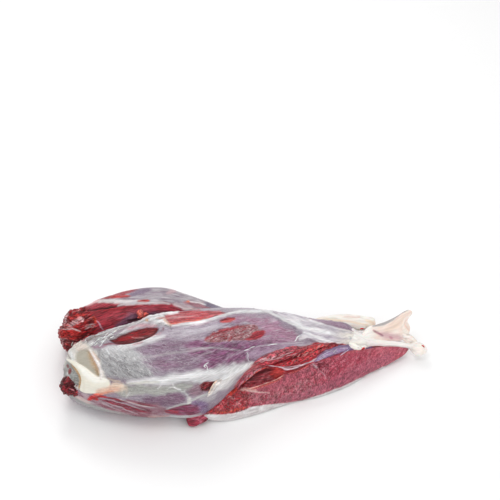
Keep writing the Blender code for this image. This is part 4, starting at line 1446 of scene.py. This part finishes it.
BACK_LINES = (
    # colour, strength, width, edge, height, line
    # painted shade in the two creases, pressed in
    (BLACK_RED, 0.9, 2.2, 1.6, -1.0, ((87, 310.6), (98, 309), (108, 307.4), (118, 306))),
    (BLACK_RED, 0.85, 2.6, 2, -1.0, ((128, 321.6), (136, 319.4), (143, 316.4))),
    # painted highlight along the top of the red lobe
    (srgb(206, 120, 112), 0.8, 1.4, 1.2, 0.3, ((66, 328), (74, 329.6), (81, 331))),
    (srgb(206, 70, 48), 0.8, 2.6, 2, 0.4, ((92.6, 317), (95, 319.4), (96, 323))),
    (srgb(196, 160, 178), 0.8, 1.1, 1.1, 0.3, ((96.4, 321), (99.6, 324), (102, 328.6), (103.4, 330))),
    # painted highlight along the top of the red lobe
    (srgb(214, 196, 198), 0.8, 1.3, 1.2, 0.3, ((66, 329.6), (72, 328.8), (78, 330), (80.6, 331))),
    (srgb(196, 60, 56), 0.7, 2, 1.6, 0.4, ((66, 318), (76, 315), (86, 314))),
    (srgb(214, 206, 206), 0.9, 3.4, 2, 0.6, ((87, 301.6), (100, 301), (116, 302.2), (130, 302),
                                             (140, 300.6))),
    (srgb(222, 170, 172), 0.9, 5, 3, 0.3, ((86, 304.6), (92, 301.4), (99, 299.6))),
    (srgb(180, 40, 42), 0.9, 3.6, 2, 0.5, ((96, 299.2), (106, 296.8), (118, 297.4), (130, 296.4))),
    (srgb(112, 88, 116), 0.85, 6, 4, 0, ((130, 295), (140, 291.4), (150, 290))),
    (srgb(190, 52, 44), 0.9, 4, 2.4, 0.4, ((138, 302.4), (143, 301.4), (149, 300.8))),
    (srgb(196, 160, 166), 0.7, 4, 2.4, 0.5, ((167, 293.4), (174, 290), (182, 288.6))),
    (srgb(168, 78, 84), 0.7, 2, 2, 0, ((150, 303.4), (162, 302.6), (172, 303.6))),
    (srgb(206, 204, 206), 0.8, 2.4, 2, 0.3, ((118, 305.4), (134, 303.4), (152, 302.6), (170, 303.6))),
    (srgb(196, 180, 184), 0.9, 4.4, 3, 0.5, ((174, 304), (182, 307), (192, 310.4))),
    (srgb(150, 96, 106), 0.9, 5.4, 3, 0.2, ((184, 302.6), (197, 304.6), (208, 307.6), (216, 309.8))),
    (srgb(112, 100, 122), 0.95, 5, 2.4, 0, ((204, 304), (220, 308.4), (233, 311))),
    (srgb(222, 214, 210), 0.8, 1.4, 1.4, 0.3, ((182, 309.6), (196, 309), (206, 310.4))),
    (srgb(226, 130, 104), 0.9, 2.4, 1.6, 0.4, ((186.6, 302), (189.4, 301.4))),
    (BRIGHT_WHITE, 0.7, 1.4, 1.4, 0.3, ((190, 301.6), (198, 302.8), (206, 305))),
)
back.strokes(BACK_LINES)
hidden = (1 - back.facing) * (1 - end_face)
clouded = smooth(-0.55, 0.25, back.grit(18, 77, 4) + 0.3 * back.grit(5, 65, 6))
veil = np.maximum(clouded, smooth(0.1, 0.6, back.normals[:, 2]))
back.put(srgb(162, 140, 152), hidden * veil, 0.2, 0.9)
back.mottle(hidden * veil, back.grit(2.4, 87, 8), srgb(192, 184, 190), srgb(134, 84, 104), 0.6)
back.done(FLESHY, "red_meat", 0.4)

# %% [markdown]
# ## Tendons
#
# At the hock end everything runs into tendon: smooth, cream white and firm, with a thin web that
# stands up from the cord.

# %% The heel tendon
heel = Muscle("heel_tendon", upright(HEEL_TENDON_RIBS), 150, 220, (ROUND, ROUND), 0.5)
heel.tint(srgb(242, 238, 232))
heel.mottle(1, heel.grit(2.0, 81, 7), srgb(250, 248, 244), srgb(212, 206, 204), 0.6)
heel.lift += 0.3 * heel.grit(6, 82, 2) + 0.15 * heel.grit(2, 83, 6)
heel.lift -= 3 * smooth(348, 334, heel.spot[:, 0])
HEEL_LINES = (
    # colour, strength, width, edge, height, line
    (srgb(246, 240, 232), 0.9, 11, 4, 1.4, ((350, 346.6), (358, 346), (366, 347))),
    (srgb(240, 236, 230), 0.8, 4, 2.4, 0.6, ((352, 350), (358, 350), (363, 348.6))),
    (srgb(196, 192, 192), 0.6, 1.6, 1.8, -0.3, ((356, 343.6), (362, 344.4), (368, 346))),
    (srgb(206, 60, 62), 0.9, 2.4, 1.4, 0.1, ((361.4, 329), (364, 328.2), (366, 329))),
    (srgb(206, 84, 84), 0.7, 2.2, 1.8, 0, ((361.6, 350.6), (364, 348.6), (365.6, 347))),
    (srgb(206, 160, 166), 0.6, 1.2, 1.4, 0, ((359.6, 324.6), (358.8, 328.4), (360, 331))),
    (srgb(206, 192, 198), 0.6, 2.6, 2.4, -0.2, ((348, 328.6), (356, 330.6), (363, 331.6))),
    (srgb(122, 70, 86), 0.85, 2.2, 1.8, -0.8, ((375, 333.2), (379, 334.6), (384, 337.2))),
    (srgb(168, 156, 166), 0.75, 1.8, 1.8, -0.4, ((383, 337), (392, 340), (402, 341.4), (411, 342))),
    (srgb(246, 242, 236), 0.9, 4, 3, 0.4, ((371, 339), (384, 342), (398, 344), (412, 346))),
    (srgb(206, 188, 180), 0.5, 2.4, 2.4, 0, ((368, 347), (384, 347), (400, 347.4))),
    (srgb(250, 240, 230), 0.9, 9, 5, 0.4, ((416, 348), (422, 350), (425, 352))),
    (srgb(186, 96, 84), 0.85, 1.6, 1.4, 0, ((424.4, 343.6), (425.4, 345))),
)
heel.strokes(HEEL_LINES, 0.4)
heel.done(TENDON, "tendon", 0.2)

# %% [markdown]
# The web is a muscle like the others, but only 5 millimetres thick. It fans out from the cord, and
# its foot ties it to the cord's end.

# %% The tendon web
web = Muscle("tendon_web", upright(TENDON_WEB_RIBS), 150, 130, (ROUND, ROUND), 0.5)
web.tint(srgb(240, 222, 210))
web.mottle(1, web.grit(2.2, 84, 5, 40), srgb(248, 236, 226), srgb(224, 196, 182), 0.6)
web.tint(srgb(243, 238, 232), smooth(379, 367, web.spot[:, 0]))
WEB_LINES = (
    # colour, strength, width, edge, height, line
    # painted shade along the web's thin upper edge, which faces away from the light
    (srgb(168, 164, 164), 0.95, 4, 1.8, -0.2, ((373, 326), (384, 323.6), (392, 318.6), (400, 312.4),
                                               (406, 309.6))),
    (srgb(232, 208, 190), 0.7, 6, 5, 0, ((385, 331), (396, 326), (406, 318))),
    (srgb(226, 176, 150), 0.6, 1.2, 1.6, 0, ((407, 323), (407.6, 327), (409.4, 331))),
    (srgb(244, 232, 222), 0.8, 3, 2.4, 0.3, ((410, 314), (405, 320), (403, 326), (406, 333), (414, 339))),
    (ROSE, 0.85, 7, 5, 0, ((380, 334), (390, 336.4), (401, 338))),
    (srgb(190, 128, 142), 0.8, 2.6, 2, 0, ((389.6, 336.6), (392.4, 338.6))),
    (srgb(150, 92, 108), 0.8, 2.4, 2, -0.3, ((373, 330.4), (377, 332.6), (383, 336))),
)
web.strokes(WEB_LINES, 0.4)
rise = web.points[:, 2]
tip = 3.5 * smooth(37, 43, rise)
notch = 5 * np.exp(-(((rise - 34) / 4) ** 2))
web.points[:, 0] += smooth(180, 192, web.points[:, 0]) * (tip - notch)
web.done(TENDON, "tendon", 0.2)
foot = Muscle("web_foot", upright(WEB_FOOT_RIBS), 60, 60, (ROUND, ROUND), 0.3)
foot.tint(srgb(242, 230, 220))
foot.mottle(1, foot.grit(2.0, 88, 5), srgb(248, 240, 232), srgb(228, 204, 192), 0.6)
foot.done(TENDON, "tendon", 0.2)

# %% [markdown]
# The side tendon lies flat behind the cord. Its start is tinted like the skin that it comes out of,
# which hides where one muscle goes into the other.

# %% The side tendon
side = Muscle("side_tendon", upright(SIDE_TENDON_RIBS), 110, 130, (ROUND, BLUNT), 0.5)
side.tint(srgb(240, 234, 226))
side.mottle(1, side.grit(1.8, 85, 8), srgb(248, 246, 242), srgb(214, 204, 196), 0.6)
SIDE_LINES = (
    # colour, strength, width, edge, height, line
    (srgb(230, 200, 170), 0.7, 2.2, 2.4, -0.2, ((318, 318.6), (334, 320), (350, 321.6), (368, 325))),
    (srgb(240, 214, 188), 0.7, 4, 3, 0, ((366, 320), (373, 323), (377, 326))),
    (srgb(226, 190, 180), 0.7, 1.6, 1.6, 0, ((344, 316.4), (352, 317), (360, 316.8))),
)
side.strokes(SIDE_LINES)
side.tint(GREY_LILAC, smooth(86, 60, side.points[:, 0]) * 0.85)
side.done(TENDON, "tendon", 0.2)

# %% [markdown]
# The stub at the knee is the cut end of another muscle, and the scrap of flesh below was left hanging
# by the knife. Both show raw bundles or streaks on every side, so their masks cover them whole.

# %% The stub at the knee and the scrap below
STUB_SHADE = ((69, 384), (74, 383), (78, 388), (76, 392), (70, 391))
STUB_LINES = (
    # colour, strength, width, edge, height, line
    (srgb(176, 66, 72), 0.8, 3, 2, 0.3, ((76, 394), (79, 391), (80, 388))),
    (srgb(206, 128, 134), 0.8, 1.6, 1.4, 0.3, ((69.6, 388.6), (72, 390), (74, 391.4))),
    (srgb(150, 30, 44), 0.8, 2.6, 2, 0.3, ((62.6, 385), (64, 389), (68, 393))),
)
stub = Muscle("knee_stub", upright(KNEE_STUB_RIBS), 130, 110, (ROUND, ROUND))
whole = np.ones(len(stub.points))
raised, tone = stub.bundles(whole, 3.0, 91, 1.6, 60)
stub.put(srgb(106, 8, 20), whole, 0, 1, 0.2)
stub.tint(srgb(164, 40, 52), smooth(0.1, 0.8, tone) * 0.8)
stub.tint(BLACK_RED, smooth(0.1, 0.8, -tone) * 0.6)
stub.tint(BLACK_RED, (1 - raised) * 0.7)
stub.put(srgb(60, 8, 12), stub.blot(STUB_SHADE, 3, 1), -0.6, 0.8)
stub.strokes(STUB_LINES)
stub.lift += 1.1 * (raised - 0.5) + 0.4 * tone
stub.done(FLESHY, "red_meat", 0.2)

scrap = Muscle("scrap", upright(SCRAP_RIBS), 100, 80, (ROUND, ROUND), 0.5)
whole = np.ones(len(scrap.points))
scrap.put(srgb(176, 60, 82), whole, 0, 1, 0.15)
scrap.mottle(whole, scrap.grit(1.8, 93, 3), srgb(206, 118, 138), srgb(122, 22, 44), 0.8)
scrap.lift += 0.5 * scrap.grit(3, 94)
scrap.done(FLESHY, "red_meat", 0.2)

# %% [markdown]
# ## Laying the strips
#
# Above the pocket the flesh hangs in five torn sheets, and a lip of membrane curls over its edge.
# They are thin and overlap, so each is a strip of its own and lies on the ones laid before it.

# %% Torn fibres and the lip of the pocket
TORN_FIBRES = (
    # colour, line of (right, down, half width, half height)
    (srgb(206, 92, 106), ((254, 362.5, 1.6, 1.0), (264, 357.8, 3.4, 1.4), (278, 353, 4.4, 1.5),
                          (292, 348.8, 3.4, 1.3), (302, 347, 1.4, 0.9))),
    (srgb(210, 72, 86), ((259, 365, 1.4, 1.0), (272, 361.8, 3.2, 1.4), (284, 358.4, 3.4, 1.5),
                         (294, 354, 2.6, 1.3), (304, 349, 1.4, 0.9))),
    (srgb(192, 38, 52), ((272, 366.4, 1.4, 1.0), (284, 364.6, 2.6, 1.3), (295, 361.4, 2.8, 1.3),
                         (306, 355.6, 2.2, 1.2), (314, 351, 1.2, 0.8))),
    (srgb(222, 72, 74), ((302, 354, 1.2, 0.9), (310, 350, 2.4, 1.3), (320, 346, 2.4, 1.3),
                         (331, 344.4, 1.2, 0.8))),
    (srgb(202, 54, 66), ((300, 362, 1.0, 0.9), (308, 358, 2.2, 1.2), (316, 352.6, 2.4, 1.2),
                         (326, 348, 1.8, 1.0), (338, 345.4, 1.0, 0.8))),
)
sheets = []
for index, (colour, line) in enumerate(TORN_FIBRES):
    name = f"torn_sheet_{index + 1}"
    sheets.append(strip(name, line, colour, TORN, "red_meat", (36, 80), rough=0.5, marble=0.8, streak=2))
gathered("torn_fibres", sheets)
LIP = ((237, 389, 1.2, 0.8), (241, 382, 3.0, 1.2), (247, 375.4, 4.0, 1.3), (256, 370, 3.4, 1.2),
       (266, 366.6, 1.6, 0.9))
strip("pocket_lip", LIP, srgb(184, 84, 104), TORN, "red_meat", (40, 80), rough=0.6, marble=1.0, streak=1.6)
LIP_EDGE = ((239, 387.6, 0.5, 0.5), (246, 380.6, 0.9, 0.7), (254, 373.6, 0.9, 0.7), (262, 368.4, 0.8, 0.6),
            (270, 367, 0.4, 0.4))
lip_edge = strip("lip_edge_above", LIP_EDGE, srgb(206, 74, 66), FLESHY, "red_meat", rough=0.4, marble=0.3)
LOW_EDGE = ((285.6, 371.6, 0.4, 0.4), (283, 375.6, 0.6, 0.4), (277, 379.4, 0.8, 0.5),
            (266, 383.2, 0.4, 0.3), (254, 387.6, 0.8, 0.5), (243, 390, 0.5, 0.4))
low_edge = strip("lip_edge_below", LOW_EDGE, srgb(226, 160, 150), FLESHY, "red_meat", rough=0.4, marble=0.3)
gathered("pocket_edge", [lip_edge, low_edge])

# %% [markdown]
# Hair-fine threads cling to the torn parts. They are too many to place by hand, so a seeded random
# draw strews them along a line and tilts them, which gives the same threads each time.

# %% Fine threads
def pale_threads(name, count, start, stop, drift, lean, length, seed, colour, material, slot):
    """Fine threads that rise to the right, lean degrees steep, from places between start and stop."""
    chance = np.random.default_rng(seed)
    laid_down = []
    for index in range(count):
        share = (index + chance.uniform()) / count
        right = start[0] + share * (stop[0] - start[0]) + drift * chance.uniform(-1, 1)
        down = start[1] + share * (stop[1] - start[1]) + drift * chance.uniform(-1, 1)
        reach = length * chance.uniform(0.6, 1.2)
        tilt = math.radians(lean + chance.uniform(-9, 9))
        bend = chance.uniform(-0.8, 0.8)
        across = right + 0.5 * reach * math.cos(tilt) + bend
        above = down - 0.5 * reach * math.sin(tilt) + bend
        end = (right + reach * math.cos(tilt), down - reach * math.sin(tilt), 0.25, 0.2)
        line = ((right, down, 0.25, 0.2), (across, above, 0.5, 0.4), end)
        laid_down.append(strip(f"{name}_{index + 1}", line, colour, material, slot, (8, 16), sunk=0.35))
    gathered(name, laid_down)


THREADS = (
    # name, count, start, stop, drift, lean, length, seed, colour, material, slot
    ("threads_left", 22, (256, 362), (292, 354), 2.4, 22, 7, 1, srgb(226, 178, 184), FLESHY, "red_meat"),
    ("threads_right", 16, (292, 360), (322, 348), 2.0, 44, 5, 2, srgb(216, 140, 140), FLESHY, "red_meat"),
    ("threads_lip", 12, (241, 384), (260, 369), 1.2, 56, 4, 3, srgb(226, 178, 184), FLESHY, "red_meat"),
    ("wisps_above", 14, (88, 345), (114, 333), 2.6, 34, 6, 4, srgb(230, 230, 228), TENDON, "tendon"),
    ("wisps_corner", 12, (72, 349), (86, 342), 2.4, 62, 4, 5, srgb(226, 220, 212), TENDON, "tendon"),
)
for tuft in THREADS:
    pale_threads(*tuft)
print("tufts of threads:", len(THREADS))

# %% [markdown]
# A thin sinew crosses the pocket and forks, and beyond it a strip of violet membrane covers the deep
# muscle. The sinew is sunk deeper than the other strips, so that it lies in the flesh like a root.

# %% Sinew and violet membrane
SINEW_LINE = ((262, 364.8, 0.3, 0.3), (272, 366, 0.4, 0.4), (281, 367, 0.5, 0.4), (286, 369.4, 1.5, 0.7),
              (291, 369, 0.8, 0.5), (299, 366.6, 1.1, 0.5), (307, 363, 0.6, 0.4), (313, 361, 1.3, 0.6),
              (318, 357, 0.4, 0.4))
sinew = strip("sinew", SINEW_LINE, srgb(206, 174, 184), SKIN, "silver_skin", (20, 90), rough=0.5, sunk=0.6)
SINEW_FORK = ((281, 366.6, 0.3, 0.3), (288, 367.4, 0.5, 0.4), (295, 366, 0.6, 0.4), (301, 364.6, 0.3, 0.3))
fork = strip("sinew_fork", SINEW_FORK, srgb(206, 170, 180), SKIN, "silver_skin", (12, 40), rough=0.4,
             sunk=0.6)
gathered("pocket_sinew", [sinew, fork])
VIOLET_STRIP = ((315, 361.6, 1.2, 0.8), (322, 357.4, 2.4, 1.0), (331, 353, 3.0, 1.1), (340, 350, 2.8, 1.0),
                (348, 348, 1.6, 0.8))
strip("violet_strip", VIOLET_STRIP, srgb(148, 120, 158), SKIN, "silver_skin", (40, 90), rough=0.5,
      marble=0.6)
WHITE_EDGE = ((340, 355.6, 0.3, 0.3), (345, 352.4, 0.5, 0.4), (349, 349.4, 0.3, 0.3))
VIOLET_LINE = ((316, 360, 0.3, 0.3), (321, 355.6, 0.5, 0.4), (328, 352, 0.4, 0.4), (334, 349.6, 0.3, 0.3))
lines = [strip(f"sinew_line_{index + 1}", line, srgb(206, 198, 216), SKIN, "silver_skin", (8, 30))
         for index, line in enumerate((WHITE_EDGE, VIOLET_LINE))]
gathered("sinew_lines", lines)

# %% [markdown]
# Then come the loose ends: the flap of skin with its pale edge, a scrap of flesh that sticks to the
# edge of the big muscle, the knob on the heel tendon, and the fold of the web.

# %% Flap, scrap, knob and fold
FLAP = ((222, 379, 1.6, 0.8), (217, 383, 3.0, 1.1), (213.6, 388, 2.8, 1.1), (210, 393.4, 2.0, 0.8),
        (207, 397, 0.9, 0.6))
strip("skin_flap", FLAP, srgb(212, 204, 200), SKIN, "silver_skin", (40, 80), rough=0.9, sunk=0.3)
FLAP_EDGE = ((217, 380, 0.7, 0.6), (213, 385, 1.0, 0.7), (210.4, 390, 1.0, 0.7), (207.6, 395.6, 0.6, 0.5))
strip("flap_edge", FLAP_EDGE, srgb(236, 206, 186), SKIN, "silver_skin", (16, 50), rough=0.4, sunk=0.2)
FLESH_SCRAP = ((137.6, 317.4, 1.6, 1.4), (141, 316.6, 3.4, 2.8), (145, 315.6, 4.2, 3.2),
               (148.4, 314, 2.0, 1.6))
strip("flesh_scrap", FLESH_SCRAP, srgb(204, 84, 74), FLESHY, "red_meat", (40, 60), rough=1.1, marble=0.5,
      sunk=0.3)
SCRAP_ARM = ((143.4, 315.6, 2.4, 2.0), (141, 313.8, 3.8, 2.6), (139.4, 311.8, 3.6, 2.4),
             (138, 310, 1.8, 1.4))
strip("flesh_scrap_arm", SCRAP_ARM, srgb(210, 96, 84), FLESHY, "red_meat", (40, 50), rough=1.1, marble=0.5,
      sunk=0.3)
KNOB = ((348.6, 343.4, 1.6, 1.2), (352, 345.6, 3.4, 2.4), (357, 348, 3.6, 2.6), (362, 348, 3.0, 2.2),
        (367, 346.6, 1.6, 1.2))
strip("tendon_knob", KNOB, srgb(250, 244, 236), TENDON, "tendon", (30, 50), rough=0.6)
WEB_FOLD = ((402, 334, 1.6, 1.0), (407, 336.6, 4.0, 1.2), (412, 340, 4.6, 1.2), (417, 344, 2.0, 1.0))
strip("web_fold", WEB_FOLD, srgb(240, 226, 216), TENDON, "tendon", (24, 50), rough=0.3)
print("flap, scrap, knob and fold laid")

# %% [markdown]
# Three small spots of blood lie on the tendons. They stand a little proud, as drops do, so they are
# short strips and not paint.

# %% Blood spots
BLOOD_SPOTS = (
    # line of (right, down, half width, half height)
    ((359.8, 328.9, 0.5, 0.4), (361.8, 328.5, 1.1, 0.6), (364, 328.8, 0.6, 0.4)),
    ((361.4, 349.8, 0.5, 0.4), (363.6, 348, 1.3, 0.6), (365.4, 348.4, 0.5, 0.4)),
    ((421.6, 345.4, 0.5, 0.4), (423.4, 346, 1.1, 0.6), (424.4, 347.6, 0.6, 0.4)),
)
spots = [strip(f"spot_{index + 1}", line, srgb(196, 40, 46), FLESHY, "red_meat", (12, 16))
         for index, line in enumerate(BLOOD_SPOTS)]
gathered("blood_spots", spots)

# %% [markdown]
# White strands lie loose on the silverskin, where it was pulled. They are strips of one kind, so a
# table lists their lines with one width each, and a loop lays them.

# %% White strands
STRANDS = (
    # half width in mm, line
    (0.5, ((244, 350.6), (248, 349.6), (251, 347.6), (255, 346.4))),
    (0.35, ((268, 345.4), (272, 344.4), (277, 344))),
    (0.5, ((208.6, 362.4), (205.4, 364.4), (203.6, 366.6), (206, 367.4))),
    (0.45, ((204.6, 364.6), (207.4, 366.4), (207, 369.6), (209.6, 371.2))),
    (0.7, ((294.6, 341.4), (296.4, 339.4), (297.4, 336.8), (300.6, 335.4))),
    (0.3, ((246.8, 352), (248.4, 355), (247.6, 358), (249.4, 362))),
    (0.4, ((99, 347), (101.8, 344.6), (102.4, 342.6), (105, 340.4))),
    (0.4, ((103, 341.4), (106.4, 338.4), (108, 335.4), (112.4, 333))),
    (0.35, ((84, 339), (92, 335.4), (99, 334.8), (109, 330.6))),
)
strands = []
for index, (half, line) in enumerate(STRANDS):
    ribs = [(right, down, half, 0.7 * half) for right, down in line]
    strands.append(strip(f"strand_{index + 1}", ribs, srgb(224, 222, 223), TENDON, "tendon", (10, 24)))
gathered("strands", strands)
print("strands laid:", len(STRANDS))
